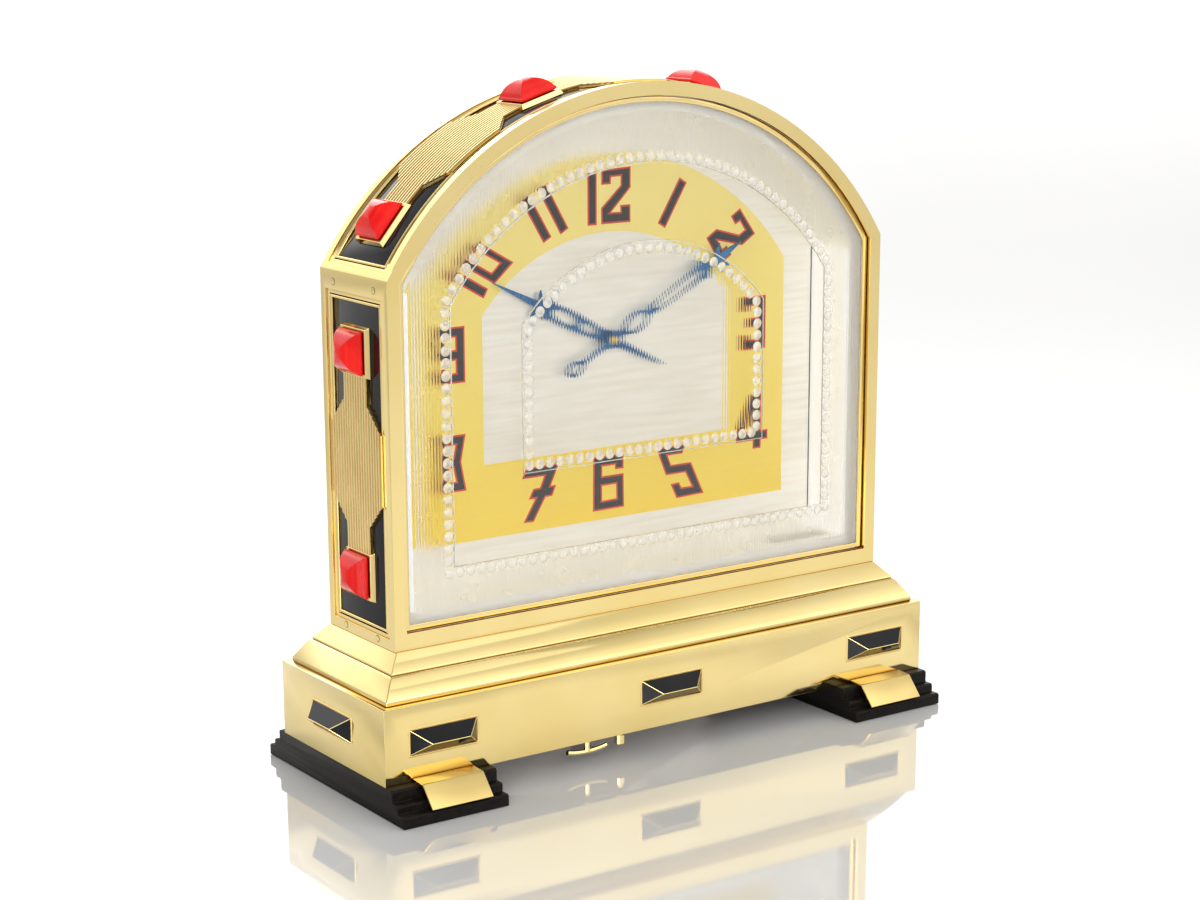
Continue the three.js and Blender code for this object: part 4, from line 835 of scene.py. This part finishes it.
def strap_plate(name, straps):
    """A plate for each strap, given as a function of (along, across, level) and the number of steps along."""
    points, outward, faces = [], [], []
    for place, steps in straps:
        first, rows = len(points), steps + 1
        offsets = reed_offsets()
        for offset in offsets:
            reach = reed_reach(offset)
            for level in (0, 1):
                for k in range(rows):
                    along = -reach + 2 * reach * k / steps
                    low, high = Vector(place(along, offset, 0)), Vector(place(along, offset, 1))
                    points.append(high if level else low)
                    outward.append((high - low).normalized() * level)
        for c in range(len(offsets) - 1):
            a, b = first + 2 * rows * c, first + 2 * rows * (c + 1)
            for k in range(steps):
                faces.append((a + rows + k, b + rows + k, b + rows + k + 1, a + rows + k + 1))
                faces.append((a + k + 1, b + k + 1, b + k, a + k))
            faces.append((a, b, b + rows, a + rows))
            faces.append((b + steps, a + steps, a + rows + steps, b + rows + steps))
        for c in (0, len(offsets) - 1):
            a = first + 2 * rows * c
            faces += [(a + k, a + k + 1, a + rows + k + 1, a + rows + k) for k in range(steps)]
    mesh = marked(mesh_of(name, points, faces), "outward", [value for vector in outward for value in vector],
                  "FLOAT_VECTOR")
    return closed_up(mesh)


def on_side(side, along, offset, level):
    reach = SIDE_STRAP - REED_SEAT + level * (REED_SEAT + REED_LEVEL)
    return side * reach, offset, SIDE_CENTRE + along


def on_arch(middle, along, offset, level):
    radius = ARCH_STRAP - REED_SEAT + level * (REED_SEAT + REED_LEVEL)
    return over_arch(radius, math.radians(middle) + along * ARCH_SHARE / ARCH_STRAP, offset)


def build_reeds():
    recipe = reed_recipe("reeds across a strap", REED_GILT)
    middles = (-SETTING_ARC, 0, SETTING_ARC)
    for name, straps in (("reeds_left", [(partial(on_side, -1), 1)]),
                         ("reeds_right", [(partial(on_side, 1), 1)]),
                         ("reeds_arch", [(partial(on_arch, middle), 24) for middle in middles])):
        recipe.make(name, strap_plate(name, straps), "gilt_reeded")


# The red stones and their settings

def stone_frames():
    """Each stone's node, seat, outward direction and direction along the strap."""
    seat = CASE_HALF - PANEL_RECESS + SETTING_RISE + STONE_SEAT
    for side_name, side in (("left", -1), ("right", 1)):
        for end_name, end in (("lower", -1), ("upper", 1)):
            place = Vector((side * seat, 0, SIDE_CENTRE + end * SETTING_SPACING / 2))
            yield "stone_%s_%s" % (side_name, end_name), place, Vector((side, 0, 0)), Vector((0, 0, 1))
    seat = ARCH_RADIUS - PANEL_RECESS + SETTING_RISE + STONE_SEAT
    for k in range(ARCH_STONES):
        angle = math.radians((k - (ARCH_STONES - 1) / 2) * SETTING_ARC)
        outward = Vector((math.sin(angle), 0, math.cos(angle)))
        place = outward * seat + Vector((0, 0, ARCH_CENTRE))
        yield "stone_arch_%d" % (k + 1), place, outward, Vector((math.cos(angle), 0, -math.sin(angle)))


def square_tower(name, place, outward, along, levels, peak=None):
    """Squares over one another, as (half width, height), up to a flat top or a peak."""
    across = outward.cross(along)
    points = [place + along * (a * width) + across * (b * width) + outward * height
              for width, height in levels for a, b in SQUARE]
    faces = [(3, 2, 1, 0)]
    for k in range(4, len(points), 4):
        faces += [(k - 4 + s, k - 4 + (s + 1) % 4, k + (s + 1) % 4, k + s) for s in range(4)]
    top = len(points) - 4
    if peak is None:
        faces.append((top, top + 1, top + 2, top + 3))
    else:
        points.append(place + outward * peak)
        faces += [(top + s, top + (s + 1) % 4, top + 4) for s in range(4)]
    return closed_up(mesh_of(name, points, faces))


def stone_levels():
    """A narrow upright band, a chamfer and the domed faces over them."""
    half = STONE_SIZE / 2
    rise = STONE_HEIGHT - STONE_SHOULDER
    levels = [(half - inset, height) for inset, height in STONE_FOOT]
    for k in range(1, STONE_RINGS):
        share = k / STONE_RINGS
        turn = share * math.pi / 2
        width = STONE_ROUNDNESS * math.cos(turn) + (1 - STONE_ROUNDNESS) * (1 - share)
        levels.append(((half - STONE_CHAMFER) * width, STONE_SHOULDER + rise * math.sin(turn)))
    return levels


def build_settings():
    """The tapered gilt block under each stone."""
    levels = [(SETTING_SIZE / 2 + SETTING_TAPER, SETTING_SEAT),
              (SETTING_SIZE / 2 + SETTING_LIP, SETTING_RISE + SETTING_SEAT)]
    for node, place, outward, along in stone_frames():
        name = node.replace("stone", "setting")
        foot = place - outward * (SETTING_RISE + STONE_SEAT)
        mesh = square_tower(name, foot, outward, along, levels)
        mesh.shade_smooth()
        piece = bevelled(placed(name, mesh), RIDGE_EASE, harden_normals=True)
        kept(dressed(piece, GILT))


def build_stones():
    """Four domed faces that meet in ridges."""
    for node, place, outward, along in stone_frames():
        mesh = square_tower(node + "_cut", place, outward, along, stone_levels(), STONE_HEIGHT)
        piece = bevelled(placed(node + "_cut", shaded(mesh, STONE_RIDGE)), RIDGE_EASE,
                         angle_limit=math.radians(STONE_RIDGE), harden_normals=True)
        kept(dressed(piece, RED_STONE), "case", (node,))


# Gold lines on the hipped inlays

def inlay_frames():
    """Each inlay's middle, outward direction and long direction."""
    for x in (-INLAY_SPREAD, 0, INLAY_SPREAD):
        yield Vector((x, PLINTH_FRONT, INLAY_HEIGHT)), Vector((0, -1, 0)), Vector((1, 0, 0))
    for side in (-1, 1):
        yield Vector((side * PLINTH_HALF, 0, INLAY_HEIGHT)), Vector((side, 0, 0)), Vector((0, 1, 0))


def build_inlay_lines():
    recipe = wire_recipe("gold lines on an inlay", GILT)
    for number, (place, outward, along) in enumerate(inlay_frames(), 1):
        def corner(a, b, rise):
            return tuple(place + along * a + Vector((0, 0, 1)) * b + outward * rise)
        base = [corner(a * INLAY_HALF, b * INLAY_RISE, INLAY_LINE_SEAT) for a, b in SQUARE]
        first, last = (corner(a * (INLAY_HALF - INLAY_HIP), 0, INLAY_PROUD) for a in (-1, 1))
        runs = [base + [base[0]], [first, last]]
        runs += [[base[k], end] for k, end in ((0, first), (3, first), (1, last), (2, last))]
        recipe.lay("inlay_lines_%d" % number, runs, "gilt", Radius=INLAY_LINE * MM, Sides=8)


# The front glass

def widened(line, step):
    """The same arched outline, this much further out."""
    return dict(half=line["half"] + step, bottom=line["bottom"] - step, centre=line["centre"],
                radius=line["radius"] + step)


def glass_top(x, bevel=0.0):
    """The height of the arched edge, or of the bevel's inner edge, at this distance from the middle."""
    radius = CAVITY_RADIUS - GLASS_GAP
    reach = radius - min(bevel, GLASS_HALF - abs(x)) if bevel else radius
    return ARCH_CENTRE + math.sqrt(max(reach * reach - x * x, 0))


def line_levels(line, x):
    reach = min(abs(x), line["half"])
    return line["bottom"], line["centre"] + math.sqrt(line["radius"] ** 2 - reach ** 2)


def glass_columns(outer, inner):
    """Places across the glass: a few to each flute, and one at every border."""
    marks = {GLASS_HALF, GLASS_HALF - GLASS_BEVEL}
    marks |= {line["half"] + step for line in (outer, inner) for step in (-RIB_EASE, RIB_EASE)}
    count = int(GLASS_HALF * RIB_STEPS / RIB_PITCH)
    columns = {k * RIB_PITCH / RIB_STEPS for k in range(-count, count + 1)}
    columns = {x for x in columns if all(abs(abs(x) - m) > COLUMN_GAP for m in marks)}
    return sorted(columns | marks | {-m for m in marks})


def glass_levels(x, outer, inner):
    """One column up the glass's front, as pairs of a height and the share that counts there."""
    bevel = min(GLASS_BEVEL, GLASS_HALF - abs(x)) + LEVEL_GAP
    crease = min(BEVEL_CREASE, bevel * CREASE_SHARE)
    bevel_low, bevel_high = GLASS_BOTTOM + bevel, glass_top(x, GLASS_BEVEL) - LEVEL_GAP
    outer_low, outer_high = line_levels(outer, x)
    inner_low, inner_high = line_levels(inner, x)
    margin = 1.0 if abs(x) < GLASS_HALF - GLASS_BEVEL - COLUMN_GAP else BEVEL_SHARE
    band = margin if abs(x) > outer["half"] else 0.0
    core = INNER_SHARE if abs(x) < inner["half"] else band
    levels = [(GLASS_BOTTOM, BEVEL_SHARE), (bevel_low - crease, BEVEL_SHARE), (bevel_low + crease, margin)]
    for z, below, above in ((outer_low, margin, band), (inner_low, band, core),
                            (inner_high, core, band), (outer_high, band, margin)):
        levels += [(z - RIB_REACH, below), (z - RIB_EASE, below), (z + RIB_EASE, above),
                   (z + RIB_REACH, above)]
    return levels + [(bevel_high - crease, margin), (bevel_high + crease, BEVEL_SHARE),
                     (glass_top(x), BEVEL_SHARE)]


def build_glass():
    """One moulded slab: fluted outside and inside a clear band that runs under the pearls, and bevelled."""
    outer, inner = widened(OUTER_PEARLS, PEARL_RADIUS), widened(INNER_PEARLS, -PEARL_RADIUS)
    columns = glass_columns(outer, inner)
    points, faces, fluted = [], [], []
    for x in columns:
        levels = glass_levels(x, outer, inner)
        top = glass_top(x)
        flute = RIB_DEPTH / 2 * (1 - math.cos(2 * math.pi * x / RIB_PITCH))
        for z, share in levels:
            edge = min(GLASS_HALF - abs(x), z - GLASS_BOTTOM, (top - z) * GLASS_SLANT)
            drop = BEVEL_DROP * max(0.0, 1 - max(edge, 0) / GLASS_BEVEL)
            points.append((x, GLASS_FRONT + drop + flute * (share if share != BEVEL_SHARE else 0), z))
            fluted.append(share)
        points += [(x, GLASS_BACK, GLASS_BOTTOM), (x, GLASS_BACK, top)]
        fluted += [0.0, 0.0]
    front = len(levels)
    rows = front + 2
    for c in range(len(columns) - 1):
        a, b = c * rows, (c + 1) * rows
        faces += [(a + r, b + r, b + r + 1, a + r + 1) for r in range(front - 1)]
        faces.append((a + front - 1, b + front - 1, b + front + 1, a + front + 1))
        faces.append((a + front + 1, b + front + 1, b + front, a + front))
        faces.append((a + front, b + front, b, a))
    last = (len(columns) - 1) * rows
    faces.append(tuple(reversed(range(front))) + (front, front + 1))
    faces.append(tuple(last + r for r in range(front)) + (last + front + 1, last + front))
    mesh = marked(mesh_of("front_glass_moulded", points, faces), "fluted", fluted)
    shaded(closed_up(mesh), SMOOTH_ANGLE)
    add_piece("front_glass_moulded", mesh, GLASS, "case", ("front_glass",))


def build_glass_pattern():
    """Two rows of pearls and two raised lines on the front glass."""
    pearls = pearl_recipe("pearls on the glass", PEARL_GLASS)
    lines = half_round_recipe("raised lines on the glass", PEARL_GLASS)
    for recipe, name, line in ((pearls, "pearls_outer", OUTER_PEARLS), (pearls, "pearls_inner", INNER_PEARLS),
                               (lines, "line_outer", OUTER_LINE), (lines, "line_inner", INNER_LINE)):
        recipe.lay(name, [tombstone(**line)], "clear_glass")


def add_box(name, xs, ys, zs, finish):
    corners = [(x, y, z) for x in xs for y in ys for z in zs]
    faces = [(0, 1, 3, 2), (4, 6, 7, 5), (0, 4, 5, 1), (2, 3, 7, 6), (0, 2, 6, 4), (1, 5, 7, 3)]
    add_piece(name, closed_up(mesh_of(name, corners, faces)), finish)


def build_light_strips():
    """White strips on the sides of the light well, and a fine dark line where each meets the dial, painted as
    the shadow in that corner.
    """
    front, back = GLASS_BACK + STRIP_GAP, DIAL_FRONT - SHADOW_LINE_SINK
    height = (STRIP_LOW, STRIP_HIGH)
    for end, side in (("left", -1), ("right", 1)):
        face = side * STRIP_FACE
        add_box("light_strip_" + end, (face, side * STRIP_BACK), (front, back), height,
                STRIP_PAINT)
        # Painted shadow: a thin dark plate in the corner where the strip meets the dial
        add_box("dial_joint_" + end, (side * (STRIP_FACE - DIAL_SHADOW_LINE), face),
                (back - SHADOW_LINE_THICKNESS, back), height, DARK_PLASTIC)


# Flat shapes: numerals and hands

def turned(points, degrees, about, size=1.0):
    angle = math.radians(degrees)
    return [(about[0] + size * (x * math.cos(angle) + z * math.sin(angle)),
             about[1] + size * (z * math.cos(angle) - x * math.sin(angle))) for x, z in points]


def area_of(loop):
    return sum(a[0] * b[1] - b[0] * a[1] for a, b in zip(loop, loop[1:] + loop[:1])) / 2


def narrowed(loop, inset):
    """The loop with each side moved inwards by the inset; a negative inset widens it."""
    if area_of(loop) < 0:
        loop = loop[::-1]
    moved = []
    for k, corner in enumerate(loop):
        before, after = Vector(loop[k - 1]), Vector(loop[(k + 1) % len(loop)])
        corner = Vector(corner)
        first, second = (corner - before).normalized(), (after - corner).normalized()
        n1, n2 = Vector((-first.y, first.x)), Vector((-second.y, second.x))
        share = max(MITRE_LIMIT, 1 + n1.dot(n2))
        moved.append(tuple(corner + (n1 + n2) * (inset / share)))
    return moved


def plate(name, shapes, back, front):
    """Flat shapes with openings, given as (outline, holes), between two planes."""
    points, faces = [], []
    for outline, holes in shapes:
        loops = [outline if area_of(outline) > 0 else outline[::-1]]
        loops += [hole if area_of(hole) < 0 else hole[::-1] for hole in holes]
        flat = [p for loop in loops for p in loop]
        caps = geometry.tessellate_polygon([[Vector((x, z, 0)) for x, z in loop] for loop in loops])
        first, count = len(points), len(flat)
        points += [(x, back, z) for x, z in flat] + [(x, front, z) for x, z in flat]
        for a, b, c in caps:
            faces.append((first + a, first + b, first + c))
            faces.append((first + count + c, first + count + b, first + count + a))
        start = first
        for loop in loops:
            for k in range(len(loop)):
                a, b = start + k, start + (k + 1) % len(loop)
                faces.append((a, b, count + b, count + a))
            start += len(loop)
    return closed_up(mesh_of(name, points, faces))


# The 2 and the bar of the 1 about their own middles, and each numeral's outline and holes on the dial
TWO = [(-5.3, 7.9), (5.4, 8.4), (5.4, 2.1), (-1.9, -5.0), (1.6, -5.0), (1.6, -3.0), (5.3, -3.0),
       (5.3, -8.3), (-5.4, -8.3), (-5.4, -3.4), (1.7, 2.9), (1.8, 5.7), (-1.8, 5.6), (-1.9, 3.5),
       (-5.3, 3.5)]
BAR = [(-1.65, -8.0), (1.65, -8.0), (1.65, 8.0), (-1.65, 8.0)]
NUMERALS = [
    (turned(BAR, 0, (-5.9, 166.2)), []),
    (turned(TWO, 0, (2.8, 166.6)), []),
    (turned(BAR, 31.5, (23.8, 163.0), 0.98), []),
    (turned(TWO, 57, (46.4, 151.2), 0.96), []),
    ([(50.7, 131.5), (60.6, 131.5), (60.6, 114.5), (50.7, 114.5), (50.7, 119.4), (53.7, 119.4), (53.7, 117.7),
      (57.4, 117.7), (57.4, 121.6), (53.2, 121.6), (53.2, 124.6), (57.4, 124.6), (57.4, 128.4), (53.7, 128.4),
      (53.7, 126.8), (50.7, 126.8)], []),
    ([(55.0, 99.9), (59.2, 99.9), (59.2, 88.1), (61.9, 88.1), (61.9, 85.0), (59.2, 85.0), (59.2, 82.3),
      (56.0, 82.3), (56.0, 85.0), (49.2, 85.0), (49.2, 88.1)], [[(56.0, 88.1), (52.8, 88.1), (56.0, 95.0)]]),
    ([(17.9, 87.2), (29.3, 87.2), (28.0, 84.3), (22.3, 84.3), (23.6, 81.1), (31.4, 81.1), (36.4, 70.5),
      (25.8, 70.2), (23.4, 75.0), (26.7, 75.2), (27.7, 73.4), (31.7, 73.4), (29.2, 78.1), (21.6, 78.1)], []),
    ([(-5.9, 87.2), (5.4, 87.2), (5.4, 82.5), (2.2, 82.5), (2.2, 84.0), (-2.6, 84.0), (-2.6, 80.9),
      (5.4, 80.9), (5.6, 70.3), (-6.1, 70.2)], [[(-2.7, 77.9), (2.6, 77.9), (2.7, 73.3), (-2.7, 73.2)]]),
    ([(-30.4, 87.0), (-18.4, 87.2), (-21.6, 80.5), (-19.6, 80.5), (-21.1, 77.3), (-23.5, 77.2),
      (-27.9, 70.1), (-31.5, 70.2), (-27.2, 77.2), (-29.6, 77.2), (-27.9, 80.3), (-25.4, 80.4),
      (-23.9, 83.8), (-31.9, 83.8)], []),
    ([(-61.6, 100.1), (-51.5, 100.1), (-53.2, 91.9), (-51.5, 83.0), (-61.6, 83.0), (-59.9, 91.9)],
     [[(-58.2, 97.1), (-55.0, 97.1), (-55.9, 93.3), (-57.3, 93.3)],
      [(-57.3, 90.4), (-55.9, 90.4), (-55.0, 86.1), (-58.2, 86.1)]]),
    ([(-61.2, 132.2), (-51.3, 132.2), (-51.3, 115.5), (-61.2, 115.5), (-61.2, 120.0), (-58.2, 120.0),
      (-58.2, 118.6), (-54.5, 118.6), (-54.5, 122.3), (-61.2, 122.3)],
     [[(-58.2, 129.1), (-54.5, 129.1), (-54.5, 125.4), (-58.2, 125.4)]]),
    (turned(BAR, -60, (-50.4, 144.8), 0.96), []),
    ([(-34.0, 149.4), (-40.8, 143.5), (-53.6, 150.9), (-47.0, 156.9)],
     [[(-38.9, 149.5), (-41.7, 146.9), (-49.4, 151.3), (-46.6, 153.9)]]),
    (turned(BAR, -31, (-26.1, 161.9)), []),
    (turned(BAR, -30, (-19.9, 164.1)), []),
]

# Each hand's half outline, as runs of (share of length, share of width) that meet at sharp points
MINUTE_RUNS = [
    [(-.344, .06), (-.330, .45), (-.290, .67), (-.246, .45), (-.224, .21), (-.15, .16), (-.073, .24),
     (-.054, .42), (-.027, .62), (0, .72), (.027, .62), (.054, .39), (.081, .33), (.127, .73), (.176, .91),
     (.228, .73), (.272, .27), (.308, .40), (.45, .54), (.60, .62), (.68, .70), (.705, 1.02)],
    [(.705, 1.02), (.722, .78), (.745, .42), (.772, .30), (.80, .45), (.828, .88), (.866, 1.28)],
    [(.866, 1.28), (.862, .95), (.848, .62), (.842, .36)],
    [(.842, .36), (.88, .33), (.93, .20), (1.0, .04)],
]
HOUR_RUNS = [
    [(-.468, .03), (-.281, .21), (-.106, .30), (-.064, .48), (-.032, .71), (0, .82), (.032, .74), (.085, .55),
     (.17, .64), (.277, .76), (.383, .82), (.47, .78), (.515, .76), (.548, 1.06)],
    [(.548, 1.06), (.562, .72), (.578, .38), (.592, .34), (.604, .52), (.618, .90), (.645, 1.32)],
    [(.645, 1.32), (.645, .95), (.636, .60), (.632, .32)],
    [(.632, .32), (.68, .29), (.80, .20), (1.0, .04)],
]
MINUTE_OPENINGS = [[.105, .25, .62], [.322, .695, .44], [-.322, -.25, .40]]
HOUR_OPENINGS = [[.115, .265, .36], [.285, .50, .50]]
# Each hand's node, body, length, turn from upright, back, front, outline and openings
HANDS = (
    ("minute_hand", "minute_group", 55.2, 61.5, 1.96, 1.46, MINUTE_RUNS, MINUTE_OPENINGS),
    ("hour_hand", "hour_group", 47.0, -63.8, 3.36, 2.86, HOUR_RUNS, HOUR_OPENINGS),
)


def flowing(stations, steps=4):
    """A smooth line through the stations."""
    line = []
    for k in range(len(stations) - 1):
        p0, p1, p2, p3 = (Vector(stations[min(max(k + d, 0), len(stations) - 1)]) for d in (-1, 0, 1, 2))
        for s in range(steps):
            t = s / steps
            q = ((2 * p1) + (p2 - p0) * t + (2 * p0 - 5 * p1 + 4 * p2 - p3) * t * t
                 + (3 * p1 - p0 - 3 * p2 + p3) * t * t * t) / 2
            line.append((q.x, max(q.y, TIP_HALF)))
    return line + [tuple(stations[-1])]


def hand_shape(runs, openings, length, degrees):
    def outline(stations):
        half = [(u, v) for v, u in stations] + [(-u, v) for v, u in reversed(stations)]
        return turned(half, degrees, (0, HAND_HEIGHT))
    profile = []
    for run in runs:
        line = flowing([(along * length, width * HAND_WIDTH) for along, width in run])
        profile += line if not profile else line[1:]
    cuts = []
    for low, high, width in openings:
        reach, half = (high - low) * length, width * HAND_WIDTH
        turns = [math.pi * k / OPENING_STEPS for k in range(OPENING_STEPS + 1)]
        cut = [(low * length + reach * (1 - math.cos(turn)) / 2,
                max(half * math.sin(turn) ** OPENING_FULLNESS, OPENING_TIP)) for turn in turns]
        cuts.append(outline(cut))
    return outline(profile), cuts


def build_numerals():
    """The numerals' red outlines, and the dark paint that lies inside them."""
    filled = [(narrowed(outline, NUMERAL_EDGE), [narrowed(hole, -NUMERAL_EDGE) for hole in holes])
              for outline, holes in NUMERALS]
    for name, shapes, back, front, finish in (("numerals_red", NUMERALS, 0.01, -0.06, NUMERAL_RED),
                                              ("numerals_dark", filled, -0.05, -0.14, NUMERAL_DARK)):
        mesh = plate(name, shapes, RING_FRONT + back, RING_FRONT + front)
        add_piece(name, mesh, finish)


def build_hands():
    for node, body, length, degrees, back, front, runs, openings in HANDS:
        shape = hand_shape(runs, openings, length, degrees)
        mesh = shaded(plate(node + "_blued", [shape], back, front), SMOOTH_ANGLE)
        add_piece(node + "_blued", mesh, BLUED, body, (node,))


# Small turned work, as (radius, y) pairs that start and end on the axis

KNOB_PROFILE = [(0, 16.4), (2.2, 16.4), (2.2, 17.25), (1.4, 17.25), (1.4, 22.6), (2.7, 22.6), (2.85, 22.8),
                (2.7, 23.0), (1.9, 23.2), (1.75, 23.9), (1.9, 24.6), (2.9, 25.2), (3.3, 25.6),
                (KNOB_HEAD, 26.0), (KNOB_HEAD, 26.5), (3.2, 26.95), (2.7, 27.2), (1.2, 27.35), (0, 27.4)]
KNURL_ENDS = (25.7, 26.7)
NUT_PROFILE = [(0, 1.35), (1.35, 1.35), (1.35, 0.8), (1.1, 0.5), (0.7, 0.3), (0, 0.26)]


def turned_work(name, profile, axis_place, steps=48):
    """A lathe shape about a line along Y."""
    x0, z0 = axis_place
    rings = profile[1:-1]
    points, faces = [(x0, profile[0][1], z0)], []
    for radius, y in rings:
        for k in range(steps):
            angle = 2 * math.pi * k / steps
            points.append((x0 + radius * math.cos(angle), y, z0 + radius * math.sin(angle)))
    points.append((x0, profile[-1][1], z0))
    last = 1 + (len(rings) - 1) * steps
    for k in range(steps):
        n = (k + 1) % steps
        faces.append((0, 1 + n, 1 + k))
        faces += [(a + k, a + n, a + steps + n, a + steps + k) for a in range(1, last, steps)]
        faces.append((last + k, last + n, len(points) - 1))
    return closed_up(mesh_of(name, points, faces))


def build_knob():
    mesh = shaded(turned_work("door_knob_turned", KNOB_PROFILE, (KNOB_X, HAND_HEIGHT)), KNOB_ANGLE)
    add_piece("door_knob_turned", mesh, GILT, "rear_door", ("door_knob",))
    runs = []
    for k in range(KNURLS):
        angle = 2 * math.pi * k / KNURLS
        x, z = KNOB_X + KNOB_HEAD * math.cos(angle), HAND_HEIGHT + KNOB_HEAD * math.sin(angle)
        runs.append([(x, y, z) for y in KNURL_ENDS])
    knurl = wire_recipe("knurl round the knob", GILT)
    knurl.lay("door_knob_knurl", runs, "gilt", "rear_door", Radius=KNURL * MM, Sides=6)


def build_hand_nut():
    mesh = shaded(turned_work("hand_nut_turned", NUT_PROFILE, (0, HAND_HEIGHT)), SMOOTH_ANGLE)
    add_piece("hand_nut_turned", mesh, BRASS, "minute_group", ("hand_nut",))


# Stage, light and camera

def build_stage():
    finish = Finish("pale studio floor", IOR=2.25)
    finish.tint(finish.cloud(0.5, 1), (0.3, (0.645, 0.645, 0.65)), (0.7, (0.65, 0.65, 0.65)))
    finish.roughen(finish.cloud(0.5, 1), 0.035, 0.05)
    corners = [(a * FLOOR_REACH, b * FLOOR_REACH, -FLOOR_DROP) for a, b in SQUARE]
    floor = placed("floor", mesh_of("floor", corners, [(0, 1, 2, 3)]))
    dressed(floor, finish.material)


def build_light():
    """A pale sky whose brightness follows each axis, and soft lights."""
    world = bpy.data.worlds.new("pale studio")
    world.use_nodes = True
    studio = Nodes(world.node_tree)
    axes = studio.node("SeparateXYZ", {0: studio.node("TexCoord", output="Generated")}).node.outputs
    strength = None
    for axis, stops in STUDIO_SHADES.items():
        half = studio.node("MapRange", {"Value": axes[axis], "From Min": -1})
        greys = [(position, (level, level, level)) for position, level in stops]
        shade = studio.colours(half, *greys, interpolation="EASE")
        strength = shade if strength is None else studio.math("MULTIPLY", strength, shade)
    strength = studio.math("MULTIPLY", strength, STUDIO_LEVEL)
    sky = studio.node("Background", {"Color": (1.0, 0.995, 0.98, 1), "Strength": strength})
    output = studio.tree.nodes.new("ShaderNodeOutputWorld")
    studio.tree.links.new(sky, output.inputs["Surface"])
    bpy.context.scene.world = world
    for name, place, width, height, power in SOFT_LIGHTS:
        light = bpy.data.lights.new(name, "AREA")
        light.shape = "RECTANGLE"
        light.size, light.size_y = width, height
        light.energy = power
        lamp = placed(name, light)
        lamp.location = place
        lamp.rotation_euler = (Vector(LIGHT_AIM) - Vector(place)).to_track_quat("-Z", "Y").to_euler()


def build_camera():
    azimuth, elevation, roll = (math.radians(v) for v in CAMERA_TURN)
    back = Vector((math.sin(azimuth) * math.cos(elevation), -math.cos(azimuth) * math.cos(elevation),
                   math.sin(elevation)))
    right = Vector((math.cos(azimuth), math.sin(azimuth), 0))
    up = back.cross(right)
    right, up = (right * math.cos(roll) + up * math.sin(roll), up * math.cos(roll) - right * math.sin(roll))
    data = bpy.data.cameras.new("view")
    data.sensor_width = 36
    data.lens = CAMERA_LENS
    data.shift_x, data.shift_y = CAMERA_SHIFT
    camera = placed("view", data)
    stand = Matrix.Translation(Vector(CAMERA_TARGET) * MM + back * CAMERA_DISTANCE)
    camera.matrix_world = stand @ Matrix((right, up, back)).transposed().to_4x4()
    bpy.context.scene.camera = camera


bpy.context.scene.view_settings.view_transform = "Standard"
build_camera()
build_light()
build_stage()
finish_solids()
build_case()
build_fillets()
build_pins()
build_reeds()
build_settings()
build_stones()
build_inlay_lines()
build_glass()
build_glass_pattern()
build_light_strips()
build_numerals()
build_hands()
build_knob()
build_hand_nut()
